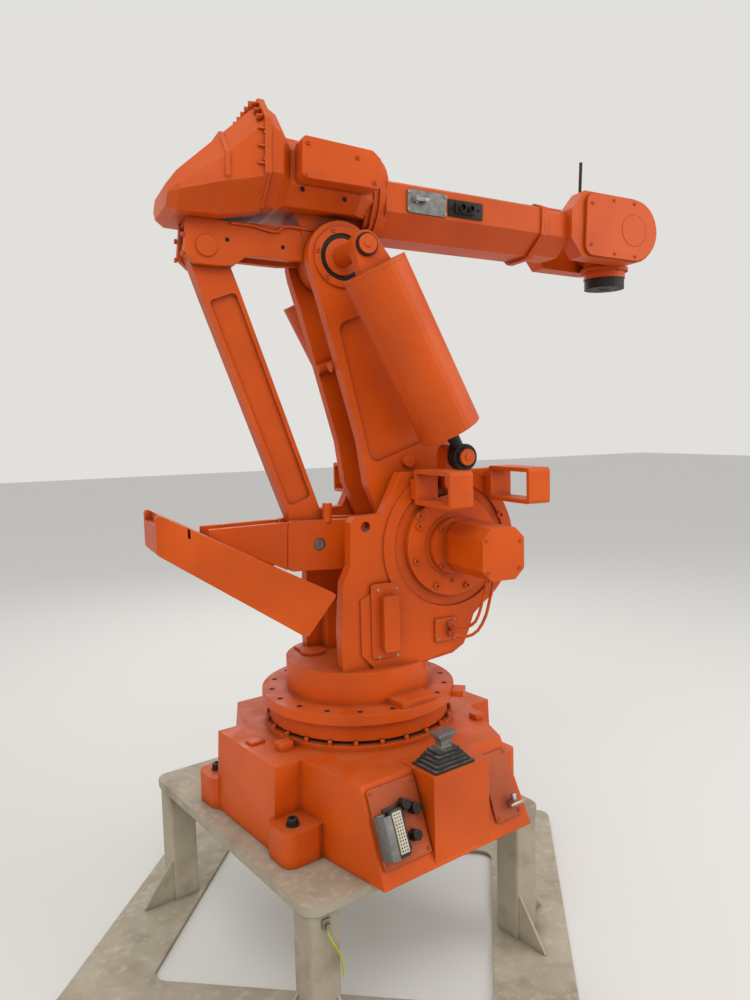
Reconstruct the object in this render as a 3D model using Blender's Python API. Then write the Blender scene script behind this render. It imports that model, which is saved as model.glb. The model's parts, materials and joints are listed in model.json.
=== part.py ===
"""Industrial robot arm on its steel stand: six axes, a parallelogram tie rod and two balancing springs.

Metres, +Z up, +X the way the arm points. The model is laid out from axis 1 at floor level, and at the
end it is moved so that its origin is the middle of its bounding box's underside. The stand and the base
are turned about Z under the arm, as the arm stands in the workshop.
"""

import math

import bmesh
import bpy
from mathutils import Matrix, Vector

# Driving dimensions
STAND_HEIGHT = 0.48  # floor to the top of the table plate
STAND_TURN = math.radians(12.2)  # stand and base against the arm, about axis 1
TABLE_X, TABLE_Y, PLATE = 0.977, 1.125, 0.030
TABLE_MID_X, TABLE_MID_Y = -0.080, 0.034  # table centre from axis 1, along the stand
AXIS_2_X, AXIS_2_UP = 0.281, 0.925  # shoulder axis from axis 1, and over the table
ARM_LENGTH = 1.05  # shoulder axis to elbow axis
ARM_LEAN = math.radians(-19.5)  # lower arm against upright, back is negative
CRANK_LENGTH = 0.443  # shoulder axis to tie rod pin
FOREARM_OFFSET = 0.225  # elbow axis to the forearm's own axis
FOREARM_LENGTH = 1.22  # elbow axis to wrist axis, along the forearm
FOREARM_PITCH = math.radians(-2.4)
FLANGE_REACH = 0.20  # wrist axis to tool flange face
SPRING_PIVOT_UP = 0.312  # lower spring pivot over the shoulder axis
SPRING_Y = 0.30  # spring centre line from the arm's middle plane
SPRING_RADIUS = 0.108
TURNTABLE_RADIUS, TURNTABLE_TOP = 0.353, 0.409  # top is over the table

# Clearances and facets
FIT_GAP = 0.0003  # between pieces that rest on each other
PIN_GAP = 0.0004  # between a pin and its bore
SIDE_GAP = 0.001  # beside an eye on its pin
OVERRUN = 0.1  # how far a cutter runs past what it cuts
LAP = 0.01  # how far joined shapes run into each other
ROUND, FINE_ROUND, PIN_ROUND, SMALL_ROUND = 32, 48, 24, 16
SMOOTH_ANGLE = math.radians(35)
SIDES = ((-1, "near"), (1, "far"))

# Derived points, z from the floor
TABLE_TOP = STAND_HEIGHT
SHOULDER = Vector((AXIS_2_X, 0, TABLE_TOP + AXIS_2_UP))
LINK = Vector((math.sin(ARM_LEAN), 0, math.cos(ARM_LEAN))) * ARM_LENGTH
ELBOW = SHOULDER + LINK
FORWARD = Vector((math.cos(FOREARM_PITCH), 0, math.sin(FOREARM_PITCH)))
UPWARD = Vector((-math.sin(FOREARM_PITCH), 0, math.cos(FOREARM_PITCH)))
AXIS_4 = ELBOW + UPWARD * FOREARM_OFFSET
WRIST = AXIS_4 + FORWARD * FOREARM_LENGTH
CRANK_PIN = SHOULDER - FORWARD * CRANK_LENGTH
SPRING_FOOT = SHOULDER + Vector((0, 0, SPRING_PIVOT_UP))
TURNTABLE_Z = TABLE_TOP + TURNTABLE_TOP

STAND_FRAME = Matrix.Rotation(STAND_TURN, 4, "Z")
ARM_FRAME = Matrix.Translation(SHOULDER) @ Matrix.Rotation(ARM_LEAN, 4, "Y")  # from the shoulder, Z to the elbow
CRANK_FRAME = Matrix.Translation(SHOULDER) @ Matrix.Rotation(-FOREARM_PITCH, 4, "Y")
FOREARM_FRAME = Matrix.Translation(ELBOW) @ Matrix.Rotation(-FOREARM_PITCH, 4, "Y")
SHOULDER_FRAME = Matrix.Translation(SHOULDER)


def clear_scene():
    for obj in list(bpy.data.objects):
        bpy.data.objects.remove(obj, do_unlink=True)


def paint(name, colour, roughness, metallic=0.0):
    made = bpy.data.materials.new(name)
    made.use_nodes = True
    shader = made.node_tree.nodes["Principled BSDF"]
    shader.inputs["Base Color"].default_value = (*colour, 1)
    shader.inputs["Roughness"].default_value = roughness
    shader.inputs["Metallic"].default_value = metallic
    made.diffuse_color = (*colour, 1)
    return made


def span(inner, outer, side):
    """Low and high end of a stretch of Y on one side of the middle plane."""
    return sorted((side * inner, side * outer))


def placing(normal):
    """How an outline's two values and the third one across it become a point."""
    return {
        "X": lambda u, v, w: (w, u, v),
        "Y": lambda u, v, w: (u, w, v),
        "Z": lambda u, v, w: (u, v, w),
    }[normal]


def lofted(levels, normal):
    """Closed solid through outlines with the same number of points, each with its place on the normal."""
    place = placing(normal)
    made = bmesh.new()
    rings = [[made.verts.new(place(u, v, w)) for u, v in points] for points, w in levels]
    made.faces.new(rings[0][::-1])
    made.faces.new(rings[-1])
    for lower, upper in zip(rings, rings[1:]):
        for i in range(len(lower)):
            k = (i + 1) % len(lower)
            made.faces.new((lower[i], lower[k], upper[k], upper[i]))
    bmesh.ops.recalc_face_normals(made, faces=made.faces)
    return made


def prism(points, normal, low, high):
    """Closed solid: the outline, given in the plane across the axis letter, pushed from low to high."""
    return lofted([(points, low), (points, high)], normal)


def plates(points, inner, outer):
    """The outline of the XZ plane as two plates, one on either side of the middle plane."""
    return [prism(points, "Y", *span(inner, outer, side)) for side, _ in SIDES]


def box(low, high):
    made = bmesh.new()
    bmesh.ops.create_cube(made, size=1)
    size = Vector(high) - Vector(low)
    bmesh.ops.scale(made, vec=size, verts=made.verts)
    bmesh.ops.translate(made, vec=Vector(low) + size / 2, verts=made.verts)
    return made


def rod(start, end, radius, end_radius=None, sides=ROUND):
    """Cylinder or cone from start to end."""
    start, end = Vector(start), Vector(end)
    made = bmesh.new()
    along = end - start
    bmesh.ops.create_cone(
        made, cap_ends=True, segments=sides, radius1=radius,
        radius2=radius if end_radius is None else end_radius, depth=along.length,
    )
    turn = Vector((0, 0, 1)).rotation_difference(along).to_matrix().to_4x4()
    bmesh.ops.transform(made, matrix=Matrix.Translation((start + end) / 2) @ turn, verts=made.verts)
    return made


def across(x, z, y_low, y_high, radius, sides=ROUND):
    """Cylinder along Y round a point of the XZ plane."""
    return rod((x, y_low, z), (x, y_high, z), radius, sides=sides)


def moved(made, matrix):
    bmesh.ops.transform(made, matrix=matrix, verts=made.verts)
    return made


def rounded(points, radius, steps=4):
    """The outline with each corner rounded by the radius."""
    out = []
    count = len(points)
    for i, point in enumerate(points):
        here, before, after = Vector(point), Vector(points[i - 1]), Vector(points[(i + 1) % count])
        a, b = (before - here).normalized(), (after - here).normalized()
        half = a.angle(b) / 2
        cut = min(radius / math.tan(half), (before - here).length * 0.49, (after - here).length * 0.49)
        fillet = cut * math.tan(half)
        middle = here + (a + b).normalized() * fillet / math.sin(half)
        start, end = here + a * cut - middle, here + b * cut - middle
        sweep = start.angle_signed(end)
        for k in range(steps + 1):
            turn = Matrix.Rotation(-sweep * k / steps, 2)
            out.append(tuple(middle + turn @ start))
    return out


def arc(x, z, radius, start, end, steps=12):
    """Points on a circle from one angle to another, in degrees."""
    angles = [math.radians(start + (end - start) * k / steps) for k in range(steps + 1)]
    return [(x + radius * math.cos(a), z + radius * math.sin(a)) for a in angles]


def circle(x, y, radius, sides=ROUND):
    return arc(x, y, radius, 0, 360 - 360 / sides, sides - 1)


def scaled(shares, size):
    """An outline from its shares of one size."""
    return [(u * size, v * size) for u, v in shares]


def octagon(half, low, high, corner):
    """Outline in the YZ plane with its four corners cut off."""
    return [
        (-half, low + corner), (-half + corner, low), (half - corner, low), (half, low + corner),
        (half, high - corner), (half - corner, high), (-half + corner, high), (-half, high - corner),
    ]


def mesh_object(name, made):
    mesh = bpy.data.meshes.new(name)
    made.to_mesh(mesh)
    made.free()
    obj = bpy.data.objects.new(name, mesh)
    bpy.context.scene.collection.objects.link(obj)
    return obj


def combined(adds, cuts=()):
    """One closed mesh: all of adds joined, all of cuts taken away."""
    target = mesh_object("shape", adds[0])
    helpers = [(mesh_object("add", made), "UNION") for made in adds[1:]]
    helpers += [(mesh_object("cut", made), "DIFFERENCE") for made in cuts]
    for helper, operation in helpers:
        step = target.modifiers.new(operation, "BOOLEAN")
        step.operation = operation
        step.solver = "EXACT"
        step.object = helper
    graph = bpy.context.evaluated_depsgraph_get()
    made = bmesh.new()
    made.from_mesh(target.evaluated_get(graph).to_mesh())
    for helper, _ in [*helpers, (target, None)]:
        bpy.data.objects.remove(helper, do_unlink=True)
    return made


def node(name, finish, adds, cuts=(), parent=None, pivot=(0, 0, 0), turn=None):
    """One named piece, its origin at pivot. It is joined and cut first, and turned into place after."""
    pivot = Vector(pivot)
    made = combined(adds, cuts) if len(adds) > 1 or cuts else adds[0]
    if turn:
        moved(made, turn)
    bmesh.ops.translate(made, vec=-pivot, verts=made.verts)
    obj = mesh_object(name, made)
    obj.data.materials.append(finish)
    obj.data.shade_smooth()
    obj.data.set_sharp_from_angle(angle=SMOOTH_ANGLE)
    if parent:
        obj.parent = parent
        obj.location = pivot - parent.matrix_world.translation
    else:
        obj.location = pivot
    return obj


def pivot_empty(name, point, parent=None):
    """An empty on a joint's axis, that carries the pieces of that joint's body."""
    empty = bpy.data.objects.new(name, None)
    bpy.context.scene.collection.objects.link(empty)
    point = Vector(point)
    empty.parent = parent
    empty.location = point - parent.matrix_world.translation if parent else point
    bpy.context.view_layer.update()
    return empty


def flowing(points, spacing):
    """Points about one spacing apart on a smooth curve through the given ones."""
    points = [Vector(p) for p in points]
    ends = [points[0] * 2 - points[1], *points, points[-1] * 2 - points[-2]]
    out = []
    for a, b, c, d in zip(ends, ends[1:], ends[2:], ends[3:]):
        steps = max(1, round((c - b).length / spacing))
        for k in range(steps):
            t = k / steps
            out.append((b * 2 + (c - a) * t + (a * 2 - b * 5 + c * 4 - d) * t ** 2
                        + (b * 3 - a - c * 3 + d) * t ** 3) / 2)
    return [*out, points[-1]]


def cord(name, finish, route, radius, parent=None):
    """A round cord along a smooth curve through the route's points."""
    curve = bpy.data.curves.new(name, "CURVE")
    curve.dimensions = "3D"
    curve.bevel_depth = radius
    curve.bevel_resolution = 2
    curve.use_fill_caps = True
    curve.materials.append(finish)
    points = flowing(route, radius * 5)
    base_point = parent.matrix_world.translation if parent else Vector()
    line = curve.splines.new("POLY")
    line.points.add(len(points) - 1)
    for target, point in zip(line.points, points):
        target.co = (*(point - base_point), 1)
    obj = bpy.data.objects.new(name, curve)
    bpy.context.scene.collection.objects.link(obj)
    obj.parent = parent
    return obj


# Stand: a floor frame set cornerwise under the table, and four square legs with gussets
FLOOR_PLATE = 0.015
FRAME_HALF, FRAME_OPEN_U, FRAME_OPEN_V = 0.83, 0.565, 0.45
FRAME_TURN = math.radians(-45)
STAND_CORNER = 0.05
LEG, LEG_INSET, LEG_ROUND = 0.10, 0.015, 0.008
GUSSET_LONG, GUSSET_HIGH, GUSSET_THICK, GUSSET_EDGE = 0.12, 0.16, 0.010, 0.008
EARTH_LUG, EARTH_LUG_THICK, EARTH_LUG_DOWN, EARTH_BARREL = 0.026, 0.005, 0.050, 0.0055
EARTH_WIRE_RADIUS = 0.0030
# The earth wire hangs from the lug: along the leg's face, out from it, and down from the table's top
EARTH_ROUTE = (
    (0.002, -0.0100, -0.0803), (0.002, -0.0100, -0.094), (0.017, -0.017, -0.130), (0.036, -0.018, -0.168),
    (0.045, -0.016, -0.205), (0.050, -0.013, -0.240),
)


def rectangle(mid_x, mid_y, half_x, half_y):
    return [
        (mid_x - half_x, mid_y - half_y), (mid_x + half_x, mid_y - half_y),
        (mid_x + half_x, mid_y + half_y), (mid_x - half_x, mid_y + half_y),
    ]


def gusset(inside, face, side, low):
    """Outline of a gusset that grows out of a leg's face, from inside the leg."""
    return [(inside, low), (face + side * GUSSET_LONG, low), (face, low + GUSSET_HIGH), (inside, low + GUSSET_HIGH)]


def stand(steel, copper, yellow):
    mid = Vector((TABLE_MID_X, TABLE_MID_Y, 0))
    cornerwise = Matrix.Translation(mid) @ Matrix.Rotation(FRAME_TURN, 4, "Z")
    outer = prism(rounded(rectangle(0, 0, FRAME_HALF, FRAME_HALF), STAND_CORNER), "Z", 0, FLOOR_PLATE)
    opening = rounded(rectangle(0, 0, FRAME_OPEN_U, FRAME_OPEN_V), STAND_CORNER)
    inner = prism(opening, "Z", -FLOOR_PLATE, 2 * FLOOR_PLATE)
    node("floor_frame", steel, [outer], [inner], turn=STAND_FRAME @ cornerwise)
    table = rounded(rectangle(mid.x, mid.y, TABLE_X / 2, TABLE_Y / 2), STAND_CORNER)
    node("table_plate", steel, [prism(table, "Z", TABLE_TOP - PLATE, TABLE_TOP)], turn=STAND_FRAME)
    low, high = FLOOR_PLATE + FIT_GAP, TABLE_TOP - PLATE - FIT_GAP
    reach_x, reach_y = TABLE_X / 2 - LEG_INSET - LEG / 2, TABLE_Y / 2 - LEG_INSET - LEG / 2
    for number, (side_x, side_y) in enumerate(((-1, -1), (1, -1), (1, 1), (-1, 1)), 1):
        x, y = mid.x + side_x * reach_x, mid.y + side_y * reach_y
        tube = prism(rounded(rectangle(x, y, LEG / 2, LEG / 2), LEG_ROUND, 2), "Z", low, high)
        # Each gusset stands on an outer face, near the leg's inner edge, and starts inside the leg.
        inset = LEG / 2 - GUSSET_EDGE
        face_x, face_y = x + side_x * (LEG / 2 - FIT_GAP), y + side_y * (LEG / 2 - FIT_GAP)
        near_y, far_y = sorted((y - side_y * inset, y - side_y * (inset - GUSSET_THICK)))
        near_x, far_x = sorted((x - side_x * inset, x - side_x * (inset - GUSSET_THICK)))
        pieces = [
            tube, prism(gusset(x, face_x, side_x, low), "Y", near_y, far_y),
            prism(gusset(y, face_y, side_y, low), "X", near_x, far_x),
        ]
        node(f"stand_leg_{number}", steel, pieces, turn=STAND_FRAME)
    earth(mid.x - reach_x, mid.y - reach_y - LEG / 2, copper, yellow)


def earth(x, face_y, copper, yellow):
    """Earth lug on the near leg's face, and the wire that hangs from it."""
    half = EARTH_LUG / 2
    outer_y = face_y - FIT_GAP - EARTH_LUG_THICK
    top = TABLE_TOP - EARTH_LUG_DOWN
    plate = box((x - half, outer_y, top - EARTH_LUG), (x + half, face_y - FIT_GAP, top))
    start = STAND_FRAME @ Vector((x, face_y, TABLE_TOP))
    barrel_x, barrel_y, barrel_end = EARTH_ROUTE[0]
    barrel = rod((x + barrel_x, face_y + barrel_y, top - EARTH_LUG / 2),
                 (x + barrel_x, face_y + barrel_y, TABLE_TOP + barrel_end + FIT_GAP), EARTH_BARREL, sides=SMALL_ROUND)
    node("earth_lug", copper, [plate, barrel], turn=STAND_FRAME)
    turned = STAND_FRAME.to_3x3()
    route = [start + turned @ Vector(point) for point in EARTH_ROUTE]
    cord("earth_wire", yellow, route, EARTH_WIRE_RADIUS)


# Base casting, measured from axis 1 along the stand's sides
BASE_HALF, BASE_NECK, BASE_FLANK = 0.49, 0.395, 0.20
BASE_FRONT, BASE_REAR, BASE_TOP, RIM_TOP = 0.59, 0.45, 0.28, 0.30
BASE_LEFT, BASE_RIGHT, REAR_HALF = 0.345, 0.28, 0.30
FRONT_BATTER, SIDE_BATTER = 0.11, 0.015  # how far the walls lean in over their height
RIM_RADIUS, BEARING_RADIUS, BEARING_HIGH = 0.345, 0.315, 0.012
FOOT_OUT, FOOT_IN, FOOT_NEAR, FOOT_FAR, FOOT_HIGH, FOOT_ROUND = 0.51, 0.36, 0.18, 0.32, 0.112, 0.035
GAITER_X, GAITER_Y, GAITER_BOX, GAITER_BOX_TOP = -0.028, -0.520, 0.117, 0.284
GAITER_SETBACK, GAITER_BOX_REAR = 0.004, 0.42
BOOT_SHARES = ((1.00, 0.0), (1.00, 0.16), (0.82, 0.26), (0.90, 0.40), (0.68, 0.52), (0.74, 0.66), (0.50, 0.78), (0.50, 1.0))
BOOT_RADIUS, BOOT_HIGH = 0.060, 0.055
HEAD_SHARES = ((0.62, 0.0), (0.62, 0.30), (0.85, 0.45), (1.00, 0.90), (0.92, 1.0))
HEAD_RADIUS, HEAD_HIGH = 0.038, 0.050
PANEL_THICK, PANEL_ROUND = 0.008, 0.008
CONNECTOR_PANEL = (-0.333, -0.150, 0.052, 0.284)  # left, right, low, high on the sloping face
SERVICE_PANEL = (0.130, 0.248, 0.045, 0.262)
SOCKET_RADIUS, SOCKET_LONG = 0.015, 0.026
SOCKETS = ((-0.186, 0.192), (-0.221, 0.214), (-0.206, 0.119))
AIR_TAP, TAP_RADIUS, TAP_LONG = (0.205, 0.088), 0.013, 0.036
HOOD_MID, HOOD_LOW, HOOD_HIGH, HOOD_HALF, HOOD_DEEP = -0.286, 0.088, 0.216, 0.032, 0.062
HOOD_FOOT, HOOD_FOOT_THICK = 0.008, 0.012


def base_outline(half, neck, left, right, front, rear_half, rear):
    return [
        (-left, -front), (right, -front), (neck, -BASE_FLANK), (half, -BASE_FLANK), (half, BASE_FLANK),
        (neck, BASE_FLANK), (rear_half, rear), (-rear_half, rear), (-neck, BASE_FLANK), (-half, BASE_FLANK),
        (-half, -BASE_FLANK), (-neck, -BASE_FLANK),
    ]


def turned_shape(shares, radius, high, x, y, z, sides=ROUND):
    """Closed solid turned about a vertical line, from shares of its radius and its height."""
    levels = [(circle(x, y, radius * u, sides), z + high * v) for u, v in shares]
    return lofted(levels, "Z")


def on_slope(bottom):
    """Frame on the sloping connector face: X along it, Z up it, -Y out of it."""
    lean = math.atan2(FRONT_BATTER, BASE_TOP)
    return STAND_FRAME @ Matrix.Translation((0, -BASE_FRONT, bottom)) @ Matrix.Rotation(-lean, 4, "X")


def panel(size):
    left, right, low, high = size
    outline = rounded([(left, low), (right, low), (right, high), (left, high)], PANEL_ROUND, 3)
    return prism(outline, "Y", -FIT_GAP - PANEL_THICK, -FIT_GAP)


def base(orange, black, dark, grey):
    """The foot casting, its connector panels, the rubber gaiter and the bearing's outer ring."""
    bottom = TABLE_TOP + FIT_GAP
    body = lofted([
        (base_outline(BASE_HALF, BASE_NECK, BASE_LEFT, BASE_RIGHT, BASE_FRONT, REAR_HALF, BASE_REAR), bottom),
        (base_outline(BASE_HALF - SIDE_BATTER, BASE_NECK - SIDE_BATTER, BASE_LEFT, BASE_RIGHT - 2 * SIDE_BATTER,
                      BASE_FRONT - FRONT_BATTER, REAR_HALF - SIDE_BATTER, BASE_REAR - 2 * SIDE_BATTER),
         bottom + BASE_TOP),
    ], "Z")
    solids = [body, rod((0, 0, bottom + FOOT_HIGH), (0, 0, TABLE_TOP + RIM_TOP), RIM_RADIUS, sides=FINE_ROUND)]
    for side_x in (-1, 1):
        for side_y in (-1, 1):
            corners = rectangle(side_x * (FOOT_OUT + FOOT_IN) / 2, side_y * (FOOT_NEAR + FOOT_FAR) / 2,
                                (FOOT_OUT - FOOT_IN) / 2, (FOOT_FAR - FOOT_NEAR) / 2)
            solids.append(prism(rounded(corners, FOOT_ROUND, 3), "Z", bottom, bottom + FOOT_HIGH))
    solids.append(box((GAITER_X - GAITER_BOX, GAITER_SETBACK - BASE_FRONT, bottom),
                      (GAITER_X + GAITER_BOX, -GAITER_BOX_REAR, TABLE_TOP + GAITER_BOX_TOP)))
    node("base_casting", orange, solids, turn=STAND_FRAME)
    rim = TABLE_TOP + RIM_TOP
    ring = rod((0, 0, rim + FIT_GAP), (0, 0, rim + BEARING_HIGH - FIT_GAP), BEARING_RADIUS, sides=FINE_ROUND)
    node("bearing_ring", dark, [ring], turn=STAND_FRAME)
    foot = TABLE_TOP + GAITER_BOX_TOP + FIT_GAP
    boot = turned_shape(BOOT_SHARES, BOOT_RADIUS, BOOT_HIGH, GAITER_X, GAITER_Y, foot, PIN_ROUND)
    node("gaiter", black, [boot], turn=STAND_FRAME)
    head = turned_shape(HEAD_SHARES, HEAD_RADIUS, HEAD_HIGH, GAITER_X, GAITER_Y, foot + BOOT_HIGH + FIT_GAP, PIN_ROUND)
    node("gaiter_head", grey, [head], turn=STAND_FRAME)
    slope = on_slope(bottom)
    face = -FIT_GAP - PANEL_THICK
    sockets = [rod((x, face + LAP / 2, z), (x, face - SOCKET_LONG, z), SOCKET_RADIUS, sides=SMALL_ROUND)
               for x, z in SOCKETS]
    node("connector_panel", orange, [panel(CONNECTOR_PANEL), *sockets], turn=slope)
    tap_x, tap_z = AIR_TAP
    tap = rod((tap_x, face + LAP / 2, tap_z), (tap_x, face - TAP_LONG, tap_z), TAP_RADIUS, sides=SMALL_ROUND)
    node("service_panel", orange, [panel(SERVICE_PANEL), tap], turn=slope)
    # Heavy-duty connector: a flanged foot and a hood with its bevelled end
    foot_half = HOOD_HALF + HOOD_FOOT
    foot_box = box((HOOD_MID - foot_half, face - FIT_GAP - HOOD_FOOT_THICK, HOOD_LOW),
                   (HOOD_MID + foot_half, face - FIT_GAP, HOOD_HIGH))
    back, front = face - LAP, face - HOOD_DEEP
    low, high = HOOD_LOW + HOOD_FOOT, HOOD_HIGH - HOOD_FOOT
    profile = [(back, low), (back, high), (front + HOOD_HALF, high), (front, high - HOOD_HALF), (front, low)]
    hood = prism(profile, "X", HOOD_MID - HOOD_HALF, HOOD_MID + HOOD_HALF)
    node("heavy_connector", grey, [foot_box, hood], turn=slope)


# Column, measured from the shoulder axis unless a name says otherwise
NECK_RADIUS, BARREL_RADIUS, COLUMN_TOP = 0.328, 0.262, 0.52  # the top is over the table
FLANGE_HIGH = 0.036
CHEEK_IN, CHEEK_OUT, RIM_OUT = 0.155, 0.205, 0.213
CHEEK_RADIUS, OPENING_RADIUS = 0.265, 0.2225
CHEEK_REAR_SHARES = (
    (-0.72, 0.99), (-0.985, 0.468), (-1.377, 0.445), (-1.44, 0.385), (-1.453, -0.177), (-1.555, -0.374),
    (-1.604, -0.989), (-1.585, -1.66), (-0.40, -1.66), (-0.366, -1.555), (0.023, -1.502), (0.200, -1.400),
    (0.283, -1.226), (0.366, -1.000),
)  # of CHEEK_RADIUS, from the top down behind and back to the front
POCKET_BOSS_SHARES = ((0.72, 0.72), (0.72, 0.99))
PANEL_SHARES = (
    (-1.34, -0.62), (-1.34, -1.34), (-1.17, -1.53), (-0.38, -1.53), (0.0, -1.45), (0.17, -1.32), (0.33, -0.94),
    (0.20, -0.45), (-0.94, -0.45),
)
EAR_X, EAR_Z, EAR_HOLE = -0.326, 0.085, 0.018
SPINE_IN, SPINE_FRONT, SPINE_REAR, SPINE_HIGH = 0.090, -0.10, -0.36, 0.18  # ribs over the barrel's top
PAD_ANGLE, PAD_NEAR, PAD_FAR, PAD_HALF, PAD_HIGH = math.radians(-75), 0.24, 0.335, 0.075, 0.020
STOP_ANGLE, STOP_FAR, STOP_HALF, STOP_THICK, STOP_DOWN = math.radians(-38), 0.395, 0.035, 0.020, 0.008
GEARBOX_STEP_RADIUS, GEARBOX_CAP_RADIUS, GEARBOX_STEP, GEARBOX_OUT = 0.180, 0.112, 0.232, 0.238
MOTOR_MID, MOTOR_HALF_X, MOTOR_HALF_Z, MOTOR_CUT, MOTOR_OUT = 0.030, 0.080, 0.086, 0.035, 0.500
MOTOR_FLANGE_RADIUS, MOTOR_FLANGE = 0.100, 0.262
POCKET_REAR, POCKET_FRONT, POCKET_LONG, POCKET_LOW, POCKET_HIGH = -0.159, 0.141, 0.085, 0.154, 0.120
POCKET_IN, POCKET_OUT, POCKET_WALL, POCKET_ROUND = 0.245, 0.486, 0.014, 0.012
POCKET_FOOT_LOW, POCKET_FOOT_HIGH = 0.172, 0.240
LUG_LOW, LUG_HALF, LUG_TOP, LUG_ROUND = 0.196, 0.060, 0.045, 0.030
PIN_RADIUS, PIN_END = 0.018, 0.008
EYE_RADIUS, EYE_HALF = 0.045, 0.022
BOX_REAR, BOX_FRONT, BOX_LOW, BOX_HIGH, BOX_THICK = -0.318, -0.224, -0.372, -0.112, 0.006
CASE_REAR, CASE_FRONT, CASE_LOW, CASE_HIGH, CASE_THICK = -0.284, -0.226, -0.347, -0.153, 0.036
GLAND_REAR, GLAND_FRONT, GLAND_LOW, GLAND_HIGH, GLAND_THICK = -0.072, 0.012, -0.345, -0.262, 0.008
GLAND_RADIUS, GLAND_LONG = 0.012, 0.022
GLANDS = ((-0.014, -0.318), (-0.014, -0.287))
CABLE_RADIUS = 0.0055
# Each motor cable, from the end of its gland to the underside of the near motor
CABLE_ROUTES = (
    ((-0.014, -0.2436, -0.318), (-0.014, -0.258, -0.318), (0.018, -0.284, -0.322), (0.050, -0.306, -0.300),
     (0.068, -0.330, -0.245), (0.066, -0.360, -0.180), (0.052, -0.400, -0.125), (0.052, -0.400, -0.0863)),
    ((-0.014, -0.2436, -0.287), (-0.014, -0.260, -0.287), (0.014, -0.290, -0.286), (0.034, -0.318, -0.262),
     (0.040, -0.342, -0.212), (0.034, -0.372, -0.158), (0.018, -0.415, -0.115), (0.018, -0.415, -0.0863)),
)
COVER_X, COVER_Y, COVER_RADIUS, COVER_TAIL, COVER_HIGH = -0.150, 0.070, 0.045, 0.100, 0.010
COVER_TURN = math.radians(115)


def column_casting(orange, pivot):
    low_z = TABLE_TOP + RIM_TOP + BEARING_HIGH
    top_z = TABLE_TOP + COLUMN_TOP
    turning = [
        rod((0, 0, low_z), (0, 0, TURNTABLE_Z - FLANGE_HIGH / 2), NECK_RADIUS, sides=FINE_ROUND),
        rod((0, 0, TURNTABLE_Z - FLANGE_HIGH), (0, 0, TURNTABLE_Z), TURNTABLE_RADIUS, sides=FINE_ROUND),
        rod((0, 0, TURNTABLE_Z - LAP), (0, 0, top_z), BARREL_RADIUS, sides=FINE_ROUND),
    ]
    pad = box((PAD_NEAR, -PAD_HALF, TURNTABLE_Z - LAP), (PAD_FAR, PAD_HALF, TURNTABLE_Z + PAD_HIGH))
    stop_top = TURNTABLE_Z - STOP_DOWN
    stop = box((TURNTABLE_RADIUS - STOP_HALF, -STOP_HALF, stop_top - STOP_THICK), (STOP_FAR, STOP_HALF, stop_top))
    turning += [moved(pad, Matrix.Rotation(PAD_ANGLE, 4, "Z")), moved(stop, Matrix.Rotation(STOP_ANGLE, 4, "Z"))]
    outline = [
        *arc(0, 0, CHEEK_RADIUS, -50, 38, 9), *scaled(POCKET_BOSS_SHARES, CHEEK_RADIUS),
        *scaled(CHEEK_REAR_SHARES, CHEEK_RADIUS),
    ]
    arm_side = [*plates(outline, CHEEK_IN, CHEEK_OUT), *plates(scaled(PANEL_SHARES, CHEEK_RADIUS), CHEEK_OUT - LAP, RIM_OUT)]
    for side, _ in SIDES:
        arm_side.append(across(0, 0, *span(CHEEK_OUT - LAP, RIM_OUT, side), CHEEK_RADIUS - SIDE_GAP, FINE_ROUND))
        low, high = span(SPINE_IN, CHEEK_IN + LAP, side)
        floor = top_z - SHOULDER.z
        arm_side.append(box((SPINE_REAR, low, floor - 2 * LAP), (SPINE_FRONT, high, floor + SPINE_HIGH)))
    solids = turning + [moved(made, SHOULDER_FRAME) for made in arm_side]
    opening = across(SHOULDER.x, SHOULDER.z, -RIM_OUT - OVERRUN, RIM_OUT + OVERRUN, OPENING_RADIUS, FINE_ROUND)
    hole = across(SHOULDER.x + EAR_X, SHOULDER.z + EAR_Z, -RIM_OUT - OVERRUN, RIM_OUT + OVERRUN, EAR_HOLE, SMALL_ROUND)
    node("column_casting", orange, solids, [opening, hole], pivot, pivot.location)


def drives(orange, pivot):
    """Gearbox discs in the cheeks' openings, and the eight-sided motors on them."""
    shape = octagon(MOTOR_HALF_X, -MOTOR_HALF_Z, MOTOR_HALF_Z, MOTOR_CUT)
    shape = [(MOTOR_MID + u, v) for u, v in shape]
    for side, name in SIDES:
        disc = across(0, 0, *span(CHEEK_IN, CHEEK_OUT, side), OPENING_RADIUS - FIT_GAP, FINE_ROUND)
        step = across(0, 0, *span(CHEEK_IN + LAP, GEARBOX_STEP, side), GEARBOX_STEP_RADIUS, FINE_ROUND)
        cap = across(0, 0, *span(CHEEK_OUT, GEARBOX_OUT, side), GEARBOX_CAP_RADIUS)
        node(f"gearbox_{name}", orange, [disc, step, cap], (), pivot, SHOULDER, SHOULDER_FRAME)
        flange = across(0, 0, *span(GEARBOX_OUT + FIT_GAP, MOTOR_FLANGE, side), MOTOR_FLANGE_RADIUS)
        body = prism(shape, "Y", *span(GEARBOX_OUT + LAP, MOTOR_OUT, side))
        node(f"motor_{name}", orange, [flange, body], (), pivot, SHOULDER, SHOULDER_FRAME)


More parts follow.
